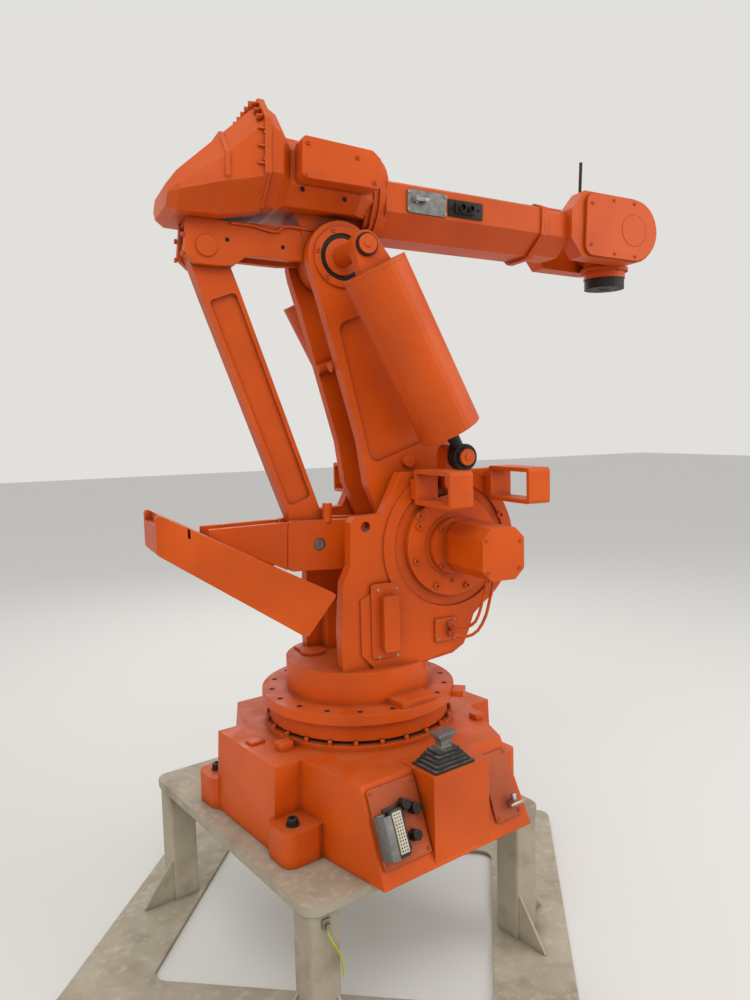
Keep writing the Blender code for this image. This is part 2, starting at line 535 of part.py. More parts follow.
def fork_pockets(orange, pivot):
    """Two rectangular loops on each cheek, one behind the other, for the forks of a truck."""
    for side, name in SIDES:
        low_y, high_y = span(POCKET_IN, POCKET_OUT, side)
        foot_low, foot_high = span(RIM_OUT + FIT_GAP, POCKET_IN + LAP, side)
        for place, start in (("rear", POCKET_REAR), ("front", POCKET_FRONT)):
            end = start + POCKET_LONG
            corners = [
                (low_y, POCKET_LOW), (high_y, POCKET_LOW),
                (high_y, POCKET_LOW + POCKET_HIGH), (low_y, POCKET_LOW + POCKET_HIGH),
            ]
            outer = prism(rounded(corners, POCKET_ROUND, 3), "X", start, end)
            wall = POCKET_WALL
            inner = box((start - OVERRUN, low_y + wall, POCKET_LOW + wall),
                        (end + OVERRUN, high_y - wall, POCKET_LOW + POCKET_HIGH - wall))
            foot_end = min(end, POCKET_FRONT + POCKET_LONG / 2)
            foot = box((start + SIDE_GAP, foot_low, POCKET_FOOT_LOW), (foot_end - SIDE_GAP, foot_high, POCKET_FOOT_HIGH))
            node(f"fork_pocket_{place}_{name}", orange, [outer, foot], [inner], pivot, SHOULDER, SHOULDER_FRAME)


def spring_lugs(orange, pivot):
    outline = rounded([
        (-LUG_HALF, LUG_LOW), (LUG_HALF, LUG_LOW), (LUG_TOP, SPRING_PIVOT_UP + LUG_TOP),
        (-LUG_TOP, SPRING_PIVOT_UP + LUG_TOP),
    ], LUG_ROUND)
    lug_out = SPRING_Y - EYE_HALF - SIDE_GAP
    for side, name in SIDES:
        lug = prism(outline, "Y", *span(RIM_OUT + FIT_GAP, lug_out, side))
        pin = across(0, SPRING_PIVOT_UP, *span(lug_out - LAP, SPRING_Y + EYE_HALF + PIN_END, side), PIN_RADIUS, PIN_ROUND)
        node(f"spring_lug_{name}", orange, [lug, pin], (), pivot, SPRING_FOOT, SHOULDER_FRAME)


def column_fittings(orange, pivot):
    """The long box on the near cheek, the gland plate with the motor's cables, and the swivel's cover."""
    face = -RIM_OUT - FIT_GAP
    cover = rounded([(BOX_REAR, BOX_LOW), (BOX_FRONT, BOX_LOW), (BOX_FRONT, BOX_HIGH), (BOX_REAR, BOX_HIGH)], LAP, 3)
    case = rounded([(CASE_REAR, CASE_LOW), (CASE_FRONT, CASE_LOW), (CASE_FRONT, CASE_HIGH), (CASE_REAR, CASE_HIGH)], LAP, 3)
    pieces = [prism(cover, "Y", face - BOX_THICK, face), prism(case, "Y", face - CASE_THICK, face - BOX_THICK / 2)]
    node("side_box", orange, pieces, (), pivot, pivot.location, SHOULDER_FRAME)
    plate = box((GLAND_REAR, face - GLAND_THICK, GLAND_LOW), (GLAND_FRONT, face, GLAND_HIGH))
    glands = [rod((x, face - GLAND_THICK / 2, z), (x, face - GLAND_THICK - GLAND_LONG, z), GLAND_RADIUS, sides=SMALL_ROUND)
              for x, z in GLANDS]
    node("gland_plate", orange, [plate, *glands], (), pivot, pivot.location, SHOULDER_FRAME)
    for number, route in enumerate(CABLE_ROUTES, 1):
        cord(f"motor_cable_{number}", orange, [SHOULDER + Vector(point) for point in route], CABLE_RADIUS, pivot)
    base_z = TABLE_TOP + COLUMN_TOP + FIT_GAP
    outline = [*arc(0, 0, COVER_RADIUS, 30, 330, 16), (COVER_TAIL, 0)]
    turn = Matrix.Translation((COVER_X, COVER_Y, base_z)) @ Matrix.Rotation(COVER_TURN, 4, "Z")
    node("swivel_cover", orange, [prism(outline, "Z", 0, COVER_HIGH)], (), pivot, (COVER_X, COVER_Y, base_z), turn)


def column(orange):
    """Everything that turns on axis 1."""
    pivot = pivot_empty("axis_1", (0, 0, TURNTABLE_Z))
    column_casting(orange, pivot)
    drives(orange, pivot)
    fork_pockets(orange, pivot)
    spring_lugs(orange, pivot)
    column_fittings(orange, pivot)
    return pivot


# Lower arm, built upright from the shoulder axis and then leaned
ARM_IN, ARM_OUT = 0.080, 0.122
ARM_FOOT_RADIUS, ARM_HEAD_RADIUS, HUB_RADIUS = 0.17, 0.12, 0.15
ARM_HIP_UP, ARM_HIP_FRONT, ARM_HIP_REAR = 0.30, 0.180, 0.190
ARM_WAIST_UP, ARM_WAIST_FRONT, ARM_WAIST_REAR = 0.45, 0.150, 0.160
ARM_NECK_DOWN, ARM_NECK = 0.12, 0.125  # under the elbow axis
WEB_REAR, WEB_FRONT, WEB_LOW, WEB_DOWN = 0.02, 0.12, 0.34, 0.30
POCKET_DEEP, RAIL = 0.018, 0.032
RECESS_LOW, RECESS_DOWN, RECESS_INSET = 0.36, 0.20, 0.042
YOKE_RADIUS, YOKE_THICK, YOKE_PROUD = 0.215, 0.022, 0.012
HEAD_RING, HEAD_RING_BORE, RING_PROUD = 0.100, 0.078, 0.008
ELBOW_PIN_RADIUS, COLLAR_RADIUS = 0.045, 0.034
POST_RADIUS, POST_END, POST_Y, POST_UP = 0.017, -0.150, 0.060, 0.720
SIDE_BOSS, SIDE_BOSS_RADIUS, SIDE_BOSS_PROUD = (-0.015, 0.322), 0.022, 0.025
YOKE_FROM, YOKE_TO, YOKE_STEPS = 35, 145, 10


def lower_arm(orange, bare, parent):
    """Two side cheeks with a front wall, forked at the elbow, and a round foot at the shoulder."""
    pivot = pivot_empty("axis_2", SHOULDER, parent)
    top = ARM_LENGTH
    outline = [
        *arc(0, 0, ARM_FOOT_RADIUS, 180, 360), (ARM_HIP_FRONT, ARM_HIP_UP), (ARM_WAIST_FRONT, ARM_WAIST_UP),
        (ARM_NECK, top - ARM_NECK_DOWN), *arc(0, top, ARM_HEAD_RADIUS, 0, 180), (-ARM_NECK, top - ARM_NECK_DOWN),
        (-ARM_WAIST_REAR, ARM_WAIST_UP), (-ARM_HIP_REAR, ARM_HIP_UP),
    ]
    solids = plates(outline, ARM_IN, ARM_OUT)
    solids.append(box((WEB_REAR, -ARM_IN - LAP, WEB_LOW), (WEB_FRONT, ARM_IN + LAP, top - WEB_DOWN)))
    recess = rounded([
        (-ARM_HIP_REAR + RECESS_INSET, RECESS_LOW), (ARM_HIP_FRONT - RECESS_INSET, RECESS_LOW),
        (ARM_NECK - RAIL, top - RECESS_DOWN), (-ARM_NECK + RAIL, top - RECESS_DOWN),
    ], RAIL)
    recesses = plates(recess, ARM_OUT - POCKET_DEEP, ARM_OUT + OVERRUN)
    yoke = [*arc(0, 0, YOKE_RADIUS + YOKE_THICK, YOKE_FROM, YOKE_TO, YOKE_STEPS),
            *arc(0, 0, YOKE_RADIUS, YOKE_TO, YOKE_FROM, YOKE_STEPS)]
    solids += plates(yoke, ARM_OUT - LAP, ARM_OUT + YOKE_PROUD)
    for side, _ in SIDES:
        solids.append(across(0, 0, *span(ARM_OUT - LAP, CHEEK_IN - FIT_GAP, side), HUB_RADIUS))
        ring = combined([across(0, top, *span(ARM_OUT - LAP, ARM_OUT + RING_PROUD, side), HEAD_RING)],
                        [across(0, top, *span(ARM_OUT - OVERRUN, ARM_OUT + OVERRUN, side), HEAD_RING_BORE)])
        solids.append(ring)
        collar_end = SPRING_Y - EYE_HALF - SIDE_GAP
        solids.append(across(0, top, *span(ARM_OUT - LAP, collar_end, side), COLLAR_RADIUS, PIN_ROUND))
        solids.append(across(0, top, *span(collar_end - LAP, SPRING_Y + EYE_HALF + PIN_END, side), PIN_RADIUS, PIN_ROUND))
        post = side * POST_Y
        solids.append(rod((WEB_REAR + LAP, post, POST_UP), (POST_END, post, POST_UP), POST_RADIUS, sides=SMALL_ROUND))
    x, z = SIDE_BOSS
    solids.append(across(x, z, -ARM_OUT - SIDE_BOSS_PROUD, -ARM_OUT + LAP, SIDE_BOSS_RADIUS, SMALL_ROUND))
    node("lower_arm", orange, solids, recesses, pivot, SHOULDER, ARM_FRAME)
    pin = across(ELBOW.x, ELBOW.z, -ARM_IN + FIT_GAP, ARM_IN - FIT_GAP, ELBOW_PIN_RADIUS, ROUND)
    node("elbow_pin", bare, [pin], (), pivot, ELBOW)
    return pivot


# Balancing springs, along each from its upper pivot
CAP_START, CAP_THICK, SLEEVE_END, SLEEVE_WALL = 0.073, 0.012, 0.660, 0.010
BRACKET_HALF = 0.060
SPRING_ROD_RADIUS, ROD_CLEAR = 0.021, 0.060


def springs(orange, steel, column_pivot, arm_pivot):
    """Balancing springs: a sleeve hung from the elbow axis over a rod that stands on the column's lug."""
    line = SPRING_FOOT - ELBOW
    along = line.normalized()
    hanging = Vector((0, 0, -1)).rotation_difference(along).to_matrix().to_4x4()
    cap_end = CAP_START + CAP_THICK
    for side, name in SIDES:
        y = Vector((0, side * SPRING_Y, 0))
        top, foot = ELBOW + y, SPRING_FOOT + y
        frame = Matrix.Translation(top) @ hanging
        pivot = pivot_empty(f"spring_top_{name}", top, arm_pivot)
        ear = prism([*arc(0, 0, EYE_RADIUS, 0, 180), (-BRACKET_HALF, -CAP_START - LAP / 2),
                     (BRACKET_HALF, -CAP_START - LAP / 2)], "Y", -EYE_HALF, EYE_HALF)
        cap = rod((0, 0, -CAP_START), (0, 0, -cap_end), SPRING_RADIUS)
        bore = across(0, 0, -OVERRUN, OVERRUN, PIN_RADIUS + PIN_GAP, PIN_ROUND)
        node(f"spring_bracket_{name}", orange, [ear, cap], [bore], pivot, top, frame)
        tube = rod((0, 0, -cap_end - FIT_GAP), (0, 0, -SLEEVE_END), SPRING_RADIUS)
        hollow = rod((0, 0, 0), (0, 0, -SLEEVE_END - OVERRUN), SPRING_RADIUS - SLEEVE_WALL)
        node(f"spring_sleeve_{name}", orange, [tube], [hollow], pivot, top, frame)
        pivot = pivot_empty(f"spring_foot_{name}", foot, column_pivot)
        reach = line.length - cap_end - ROD_CLEAR
        stick = rod((0, 0, 0), (0, 0, reach), SPRING_ROD_RADIUS, sides=SMALL_ROUND)
        eye = across(0, 0, -EYE_HALF, EYE_HALF, EYE_RADIUS, PIN_ROUND)
        bore = across(0, 0, -OVERRUN, OVERRUN, PIN_RADIUS + PIN_GAP, PIN_ROUND)
        frame = Matrix.Translation(foot) @ hanging
        node(f"spring_rod_{name}", steel, [stick, eye], [bore], pivot, foot, frame)


# Crank of the parallelogram and its counterweight
CRANK_IN, CRANK_OUT, CRANK_HUB, CRANK_RADIUS = 0.040, 0.072, 0.100, 0.135
CRANK_REAR, CRANK_TOP, CRANK_LOW, CRANK_ROUND = 0.558, 0.085, 0.090, 0.020
CRANK_WALL, CRANK_WALL_TOP = 0.025, -0.035
CRANK_PIN_RADIUS = 0.030
PIN_HOLE_RADIUS, PIN_HOLE_DEEP = 0.022, 0.012
PLUG_BACK, PLUG_Y, PLUG_RADIUS, PLUG_HIGH = 0.412, 0.060, 0.017, 0.058
CARRIER_IN, CARRIER_OUT = 0.045, 0.068
# Side view of the counterweight, from the shoulder axis, and its plan
WEIGHT_REAR, WEIGHT_TOP, WEIGHT_REAR_LOW = 1.003, 0.169, 0.038
WEIGHT_TIP, WEIGHT_TIP_TOP, WEIGHT_TIP_BACK, WEIGHT_TIP_LOW = 0.493, -0.101, 0.583, -0.239
WEIGHT_EDGE = 0.010
WEIGHT_TIP_HALF, WEIGHT_REAR_HALF = 0.350, 0.118
WEIGHT_INNER_TIP, WEIGHT_INNER_MID, WEIGHT_INNER_REAR, WEIGHT_BLOCK = 0.285, 0.255, 0.110, 0.781
CARRIER_TOP, CARRIER_TOP_REAR, CARRIER_LOW_FRONT, CARRIER_LOW_REAR, CARRIER_END = 0.080, 0.064, 0.085, 0.035, 0.830
SLIT_BACK, SLIT_WIDE, SLIT_DEEP = 0.905, 0.008, 0.030
NOTCH_HALF, NOTCH_DEEP, NOTCH_LONG = 0.095, 0.040, 0.022


def crank(orange, bare, parent):
    """The parallelogram's crank between the cheeks, always parallel to the upper arm."""
    pivot = pivot_empty("crank_axis", SHOULDER, parent)
    tail = rounded([
        (0, CRANK_TOP), (-CRANK_REAR, CRANK_TOP), (-CRANK_REAR, -CRANK_LOW), (0, -CRANK_LOW),
    ], CRANK_ROUND, 3)
    solids = plates(tail, CRANK_IN, CRANK_OUT) + [
        across(0, 0, -CRANK_OUT, CRANK_OUT, CRANK_HUB),
        across(0, 0, -ARM_IN + FIT_GAP, ARM_IN - FIT_GAP, CRANK_HUB - LAP),
    ]
    for side, _ in SIDES:
        solids.append(across(0, 0, *span(CRANK_IN, CRANK_OUT, side), CRANK_RADIUS, FINE_ROUND))
    solids.append(box((-CRANK_REAR + SIDE_GAP, -CRANK_IN - LAP, -CRANK_LOW + LAP),
                      (-CRANK_REAR + CRANK_WALL, CRANK_IN + LAP, CRANK_WALL_TOP)))
    solids.append(rod((-PLUG_BACK, -PLUG_Y, CRANK_TOP - LAP), (-PLUG_BACK, -PLUG_Y, CRANK_TOP + PLUG_HIGH),
                      PLUG_RADIUS, sides=SMALL_ROUND))
    holes = [across(-CRANK_LENGTH, 0, *span(CRANK_OUT - PIN_HOLE_DEEP, CRANK_OUT + OVERRUN, side), PIN_HOLE_RADIUS,
                    PIN_ROUND) for side, _ in SIDES]
    node("crank", orange, solids, holes, pivot, SHOULDER, CRANK_FRAME)
    pin = across(CRANK_PIN.x, CRANK_PIN.z, -CRANK_IN + FIT_GAP, CRANK_IN - FIT_GAP, CRANK_PIN_RADIUS, PIN_ROUND)
    node("crank_pin", bare, [pin], (), pivot, CRANK_PIN)
    return pivot


def counterweight(orange, pivot):
    """A swept weight that tapers from two tips beside the column to its carrier behind the crank."""
    side_view = rounded([
        (-WEIGHT_REAR, WEIGHT_TOP), (-WEIGHT_REAR, WEIGHT_REAR_LOW), (-WEIGHT_TIP_BACK, WEIGHT_TIP_LOW),
        (-WEIGHT_TIP, WEIGHT_TIP_TOP),
    ], WEIGHT_EDGE, 2)
    body = prism(side_view, "Y", -WEIGHT_TIP_HALF, WEIGHT_TIP_HALF)
    low, high = WEIGHT_TIP_LOW - OVERRUN, WEIGHT_TOP + OVERRUN
    slope = (WEIGHT_TIP_HALF - WEIGHT_REAR_HALF) / (WEIGHT_REAR - WEIGHT_TIP)
    cuts = []
    for side, _ in SIDES:
        front, rear = -WEIGHT_TIP + OVERRUN, -WEIGHT_REAR - OVERRUN
        wedge = [
            (front, side * (WEIGHT_TIP_HALF + OVERRUN * slope)), (rear, side * (WEIGHT_REAR_HALF - OVERRUN * slope)),
            (rear, side * 2 * WEIGHT_TIP_HALF), (front, side * 2 * WEIGHT_TIP_HALF),
        ]
        cuts.append(prism(wedge, "Z", low, high))
    inner_slope = (WEIGHT_INNER_TIP - WEIGHT_INNER_MID) / (WEIGHT_TIP_BACK - WEIGHT_TIP)
    front = -WEIGHT_TIP + OVERRUN
    mouth = WEIGHT_INNER_TIP + OVERRUN * inner_slope
    cuts.append(prism([
        (front, -mouth), (front, mouth), (-WEIGHT_TIP_BACK, WEIGHT_INNER_MID), (-WEIGHT_BLOCK, WEIGHT_INNER_REAR),
        (-WEIGHT_BLOCK, -WEIGHT_INNER_REAR), (-WEIGHT_TIP_BACK, -WEIGHT_INNER_MID),
    ], "Z", low, high))
    # A slot across the top and a notch in the rear end
    slot_top = WEIGHT_TIP_TOP + (WEIGHT_TOP - WEIGHT_TIP_TOP) * (SLIT_BACK - WEIGHT_TIP) / (WEIGHT_REAR - WEIGHT_TIP)
    cuts.append(box((-SLIT_BACK - SLIT_WIDE, -WEIGHT_TIP_HALF, slot_top - SLIT_DEEP),
                    (-SLIT_BACK, WEIGHT_TIP_HALF, high)))
    cuts.append(box((-WEIGHT_REAR - OVERRUN, -NOTCH_HALF, WEIGHT_TOP - NOTCH_DEEP),
                    (-WEIGHT_REAR + NOTCH_LONG, NOTCH_HALF, high)))
    block = combined([body], cuts)
    front_x = -CRANK_REAR - FIT_GAP
    carrier = [
        (front_x, CARRIER_TOP), (-CARRIER_END, CARRIER_TOP_REAR), (-CARRIER_END, -CARRIER_LOW_REAR),
        ((front_x - WEIGHT_BLOCK) / 2, -CARRIER_LOW_REAR), (front_x, -CARRIER_LOW_FRONT),
    ]
    level = Matrix.Rotation(-FOREARM_PITCH, 4, "Y")
    carriers = [moved(made, level) for made in plates(carrier, CARRIER_IN, CARRIER_OUT)]
    node("counterweight", orange, [block, *carriers], (), pivot, SHOULDER, SHOULDER_FRAME)


# Tie rod
TIE_HALF, TIE_LOW_RADIUS, TIE_HEAD_RADIUS = 0.034, 0.055, 0.060
TIE_LOW_WIDE, TIE_HIGH_WIDE, TIE_LOW_LONG, TIE_HIGH_LONG = 0.058, 0.062, 0.15, 0.14
CHANNEL_RAIL, CHANNEL_DEEP, CHANNEL_END = 0.015, 0.014, 0.16
CLEVIS_PIN_RADIUS = 0.030


def tie_rod(orange, parent):
    pivot = pivot_empty("tie_rod_axis", CRANK_PIN, parent)
    top = ARM_LENGTH
    outline = [
        *arc(0, 0, TIE_LOW_RADIUS, 180, 360), (TIE_LOW_WIDE, TIE_LOW_LONG), (TIE_HIGH_WIDE, top - TIE_HIGH_LONG),
        *arc(0, top, TIE_HEAD_RADIUS, 0, 180), (-TIE_HIGH_WIDE, top - TIE_HIGH_LONG), (-TIE_LOW_WIDE, TIE_LOW_LONG),
    ]
    low_half, high_half = TIE_LOW_WIDE - CHANNEL_RAIL, TIE_HIGH_WIDE - CHANNEL_RAIL
    channel = rounded([
        (-low_half, CHANNEL_END), (low_half, CHANNEL_END), (high_half, top - CHANNEL_END), (-high_half, top - CHANNEL_END),
    ], CHANNEL_RAIL)
    cuts = [
        across(0, 0, -OVERRUN, OVERRUN, CRANK_PIN_RADIUS + PIN_GAP, PIN_ROUND),
        across(0, top, -OVERRUN, OVERRUN, CLEVIS_PIN_RADIUS + PIN_GAP, PIN_ROUND),
        *plates(channel, TIE_HALF - CHANNEL_DEEP, TIE_HALF + OVERRUN),
    ]
    frame = Matrix.Translation(CRANK_PIN) @ Matrix.Rotation(ARM_LEAN, 4, "Y")
    node("tie_rod", orange, [prism(outline, "Y", -TIE_HALF, TIE_HALF)], cuts, pivot, CRANK_PIN, frame)


# Upper arm housing, from the elbow axis along the forearm
LUG_BLOCK_HALF, LUG_BLOCK_RADIUS, LUG_BLOCK_FRONT, LUG_BLOCK_REAR = 0.072, 0.090, 0.120, 0.150
HOUSING_LOW = 0.138
SEAM, SEAM_THICK, SEAM_PROUD = -0.289, 0.010, 0.008
HOUSING_SECTIONS = (
    (-0.289, 0.220, 0.125, 0.443, 0.085), (-0.238, 0.220, 0.125, 0.415, 0.085), (-0.205, 0.190, HOUSING_LOW, 0.350, 0.055),
    (0.040, 0.190, HOUSING_LOW, 0.335, 0.050), (0.100, 0.150, HOUSING_LOW, 0.330, 0.050),
)  # place, half width, low, high, corner
COVER_SECTIONS = (
    (-0.575, 0.125, 0.100, 0.165, 0.030), (-0.545, 0.165, 0.085, 0.205, 0.050), (-0.415, 0.212, 0.085, 0.325, 0.080),
    (-0.2893, 0.220, 0.110, 0.443, 0.085),
)
RIB_PLACE, RIB_HALF, RIB_LOW, RIB_HIGH, RIB_CORNER = -0.415, 0.220, 0.098, 0.333, 0.082
BEARING_START, BEARING_END, DRUM_RADIUS = 0.085, 0.125, 0.145
BEAM_IN, BEAM_OUT, BEAM_ROOF, BEAM_ROOF_THICK = 0.040, 0.068, 0.0847, 0.016
BEAM_SHARES = (
    (-1.14, 0.20), (-1.16, -0.06), (-1.08, -0.13), (-0.90, -0.13), (-0.80, -0.12), (-0.70, -0.04), (-0.38, -0.04),
    (-0.20, -0.02), (-0.15, 0.20),
)  # of CRANK_LENGTH
EAR_BOLT_UP, EAR_BOLT_RADIUS, EAR_BOLT_PROUD = 0.0, 0.034, 0.006
MOTOR_COVER_SHARES = ((-0.190, 0.196), (-0.190, 0.322), (0.048, 0.312), (0.078, 0.288), (0.078, 0.196))
MOTOR_COVER_OUT, MOTOR_COVER_BEVEL = 0.258, 0.012


def housing_level(section):
    place, half, low, high, corner = section
    return octagon(half, low, high, corner), place


def upper_arm(orange, parent):
    """The housing on the elbow axis, with its cast beam for the tie rod, rear cover and motor cover."""
    pivot = pivot_empty("axis_3", ELBOW, parent)
    lug = prism([*arc(0, 0, LUG_BLOCK_RADIUS, 190, 350), (LUG_BLOCK_FRONT, HOUSING_LOW + LAP),
                 (-LUG_BLOCK_REAR, HOUSING_LOW + LAP)], "Y", -LUG_BLOCK_HALF, LUG_BLOCK_HALF)
    body = lofted([housing_level(section) for section in HOUSING_SECTIONS], "X")
    place, half, low, high, corner = HOUSING_SECTIONS[0]
    proud = octagon(half + SEAM_PROUD, low - SEAM_PROUD, high + SEAM_PROUD, corner)
    seam = prism(proud, "X", place, place + SEAM_THICK)
    # The beam's sides stay under the rear cover behind the seam
    rear_space = box((-CRANK_LENGTH * 2, -OVERRUN, BEAM_ROOF), (SEAM - LAP, OVERRUN, HOUSING_LOW))
    beams = [combined([made], [rear_space.copy()]) for made in plates(scaled(BEAM_SHARES, CRANK_LENGTH), BEAM_IN, BEAM_OUT)]
    rear_space.free()
    roof = box((-CRANK_LENGTH - TIE_HEAD_RADIUS, -BEAM_OUT + SIDE_GAP, BEAM_ROOF - BEAM_ROOF_THICK),
               (-LUG_BLOCK_REAR / 2, BEAM_OUT - SIDE_GAP, BEAM_ROOF))
    discs = [across(-CRANK_LENGTH, EAR_BOLT_UP, *span(BEAM_OUT - LAP, BEAM_OUT + EAR_BOLT_PROUD, side), EAR_BOLT_RADIUS,
                    PIN_ROUND) for side, _ in SIDES]
    pin = across(-CRANK_LENGTH, 0, -BEAM_IN - LAP, BEAM_IN + LAP, CLEVIS_PIN_RADIUS, PIN_ROUND)
    drum = rod((BEARING_START, 0, FOREARM_OFFSET), (BEARING_END, 0, FOREARM_OFFSET), DRUM_RADIUS)
    bore = across(0, 0, -OVERRUN, OVERRUN, ELBOW_PIN_RADIUS + PIN_GAP)
    node("upper_arm_housing", orange, [body, seam, lug, *beams, roof, *discs, pin, drum], [bore], pivot, ELBOW, FOREARM_FRAME)
    cover = lofted([housing_level(section) for section in COVER_SECTIONS], "X")
    place, half, low, high, corner = COVER_SECTIONS[-1]
    cover_seam = prism(octagon(half + SEAM_PROUD, low + SEAM_PROUD, high + SEAM_PROUD, corner), "X",
                       place - SEAM_THICK, place)
    rib = prism(octagon(RIB_HALF, RIB_LOW, RIB_HIGH, RIB_CORNER), "X", RIB_PLACE - SEAM_THICK / 2, RIB_PLACE + SEAM_THICK)
    node("gearbox_cover", orange, [cover, cover_seam, rib], (), pivot, ELBOW, FOREARM_FRAME)
    inner = HOUSING_SECTIONS[2][1] + FIT_GAP
    outline = rounded(MOTOR_COVER_SHARES, MOTOR_COVER_BEVEL, 2)
    motor = prism(outline, "Y", -MOTOR_COVER_OUT, -inner)
    node("motor_cover", orange, [motor], (), pivot, ELBOW, FOREARM_FRAME)
    return pivot


# Forearm and wrist, from the elbow axis along the forearm's own axis
FOREARM_START = BEARING_END + FIT_GAP
COLLAR_END, FOREARM_COLLAR = 0.160, 0.150
TUBE_END, TUBE_FLANGE, TUBE_FLANGE_PROUD, TUBE_TAPER_SHARE = 0.800, 0.012, 0.008, 0.96
TUBE_HALF, TUBE_SIDE_LOW, TUBE_SIDE_HIGH, TUBE_LOW, TUBE_LOW_HALF, TUBE_HIGH, TUBE_HIGH_HALF = (
    0.150, -0.060, 0.036, -0.128, 0.060, 0.058, 0.100)
NECK_END, NECK_SHARE = 0.940, 0.88
ARM_START, WRIST_RADIUS, WRIST_IN, WRIST_OUT = 0.925, 0.123, 0.085, 0.160
WRIST_SHOULDER = 0.240  # where the wrist's arms reach their full height, behind the wrist axis
WRIST_COVER_OUT, WRIST_COVER_RADIUS, WRIST_COVER_BACK, WRIST_COVER_ROUND = 0.173, 0.116, 0.235, 0.035
ACCESS_PLATE = (0.227, 0.380, -0.054, 0.024)
CONNECTOR_PLATE = (0.389, 0.530, -0.046, 0.012)
PLATE_THICK, PLATE_ROUND, PORT_RADIUS, PORT_LONG, PORT_INSET = 0.006, 0.008, 0.015, 0.022, 0.036
WRIST_ROD_Y, WRIST_ROD_RADIUS, WRIST_ROD_LONG = -0.120, 0.006, 0.115
TILT_HALF, TILT_RADIUS, TILT_NECK_RADIUS, TILT_NECK_END, FLANGE_RADIUS = 0.0845, 0.110, 0.0835, 0.160, 0.080


def tube_section(share, taper=1):
    points = [
        (-TUBE_HALF, TUBE_SIDE_LOW), (-TUBE_LOW_HALF, TUBE_LOW), (TUBE_LOW_HALF, TUBE_LOW), (TUBE_HALF, TUBE_SIDE_LOW),
        (TUBE_HALF, TUBE_SIDE_HIGH), (TUBE_HIGH_HALF, TUBE_HIGH), (-TUBE_HIGH_HALF, TUBE_HIGH),
        (-TUBE_HALF, TUBE_SIDE_HIGH),
    ]
    return [(u * share, v * share * taper) for u, v in points]


def side_plate(size, frame_y):
    left, right, low, high = size
    outline = rounded([(left, low), (right, low), (right, high), (left, high)], PLATE_ROUND, 3)
    return prism(outline, "Y", frame_y - PLATE_THICK, frame_y)


def forearm(orange, dark, grey, parent):
    frame = Matrix.Translation(AXIS_4) @ Matrix.Rotation(-FOREARM_PITCH, 4, "Y")
    pivot = pivot_empty("axis_4", AXIS_4 + FORWARD * FOREARM_START, parent)
    origin = pivot.matrix_world.translation
    tube = lofted([(tube_section(1), COLLAR_END - LAP), (tube_section(1, TUBE_TAPER_SHARE), TUBE_END)], "X")
    collar = rod((FOREARM_START, 0, 0), (COLLAR_END, 0, 0), FOREARM_COLLAR)
    proud = 1 + TUBE_FLANGE_PROUD / TUBE_HALF
    flange = prism(tube_section(proud), "X", TUBE_END - TUBE_FLANGE, TUBE_END)
    node("forearm_tube", orange, [tube, collar, flange], (), pivot, origin, frame)
    face = -TUBE_HALF - FIT_GAP
    node("access_plate", grey, [side_plate(ACCESS_PLATE, face)], (), pivot, origin, frame)
    left, right, low, high = CONNECTOR_PLATE
    mid = (low + high) / 2
    ports = [across(x, mid, face - PLATE_THICK - PORT_LONG, face - PLATE_THICK / 2, PORT_RADIUS, SMALL_ROUND)
             for x in (left + PORT_INSET, right - PORT_INSET)]
    node("connector_plate", dark, [side_plate(CONNECTOR_PLATE, face), *ports], (), pivot, origin, frame)
    wrist(orange, dark, pivot, frame)


def wrist(orange, dark, pivot, frame):
    start = TUBE_END + FIT_GAP
    neck = lofted([(tube_section(NECK_SHARE), start), (tube_section(NECK_SHARE), NECK_END)], "X")
    flange = prism(tube_section(1 + TUBE_FLANGE_PROUD / TUBE_HALF), "X", start, start + TUBE_FLANGE)
    wrist_x = FOREARM_LENGTH
    full = wrist_x - WRIST_SHOULDER
    outline = [
        (ARM_START, TUBE_HIGH * NECK_SHARE - SIDE_GAP), (ARM_START, TUBE_SIDE_LOW), (full, -WRIST_RADIUS),
        *arc(wrist_x, 0, WRIST_RADIUS, -90, 90, 14), (full, WRIST_RADIUS),
    ][::-1]
    arms = plates(outline, WRIST_IN, WRIST_OUT)
    node("wrist_housing", orange, [neck, flange, *arms], (), pivot, WRIST, frame)
    back = wrist_x - WRIST_COVER_BACK
    cover = [
        *arc(wrist_x, 0, WRIST_COVER_RADIUS, -90, 90, 14),
        *arc(back + WRIST_COVER_ROUND, WRIST_COVER_RADIUS - WRIST_COVER_ROUND, WRIST_COVER_ROUND, 90, 180, 4),
        *arc(back + WRIST_COVER_ROUND, WRIST_COVER_ROUND - WRIST_COVER_RADIUS, WRIST_COVER_ROUND, 180, 270, 4),
    ]
    for side, name in SIDES:
        plate = prism(cover, "Y", *span(WRIST_OUT + FIT_GAP, WRIST_COVER_OUT, side))
        node(f"wrist_cover_{name}", orange, [plate], (), pivot, WRIST, frame)
    rod_low = WRIST_RADIUS + FIT_GAP
    stick = rod((full + LAP, WRIST_ROD_Y, rod_low), (full + LAP, WRIST_ROD_Y, rod_low + WRIST_ROD_LONG),
                WRIST_ROD_RADIUS, sides=SMALL_ROUND)
    node("wrist_rod", dark, [stick], (), pivot, WRIST, frame)
    tilt = pivot_empty("axis_5", WRIST, pivot)
    place = Matrix.Translation(WRIST)
    body = across(0, 0, -TILT_HALF, TILT_HALF, TILT_RADIUS)
    down = rod((0, 0, 0), (0, 0, -TILT_NECK_END), TILT_NECK_RADIUS)
    node("tilt_housing", orange, [body, down], (), tilt, WRIST, place)
    turn = pivot_empty("axis_6", WRIST + Vector((0, 0, -FLANGE_REACH)), tilt)
    flange = rod((0, 0, -TILT_NECK_END - FIT_GAP), (0, 0, -FLANGE_REACH), FLANGE_RADIUS)
    node("tool_flange", dark, [flange], (), turn, turn.matrix_world.translation, place)


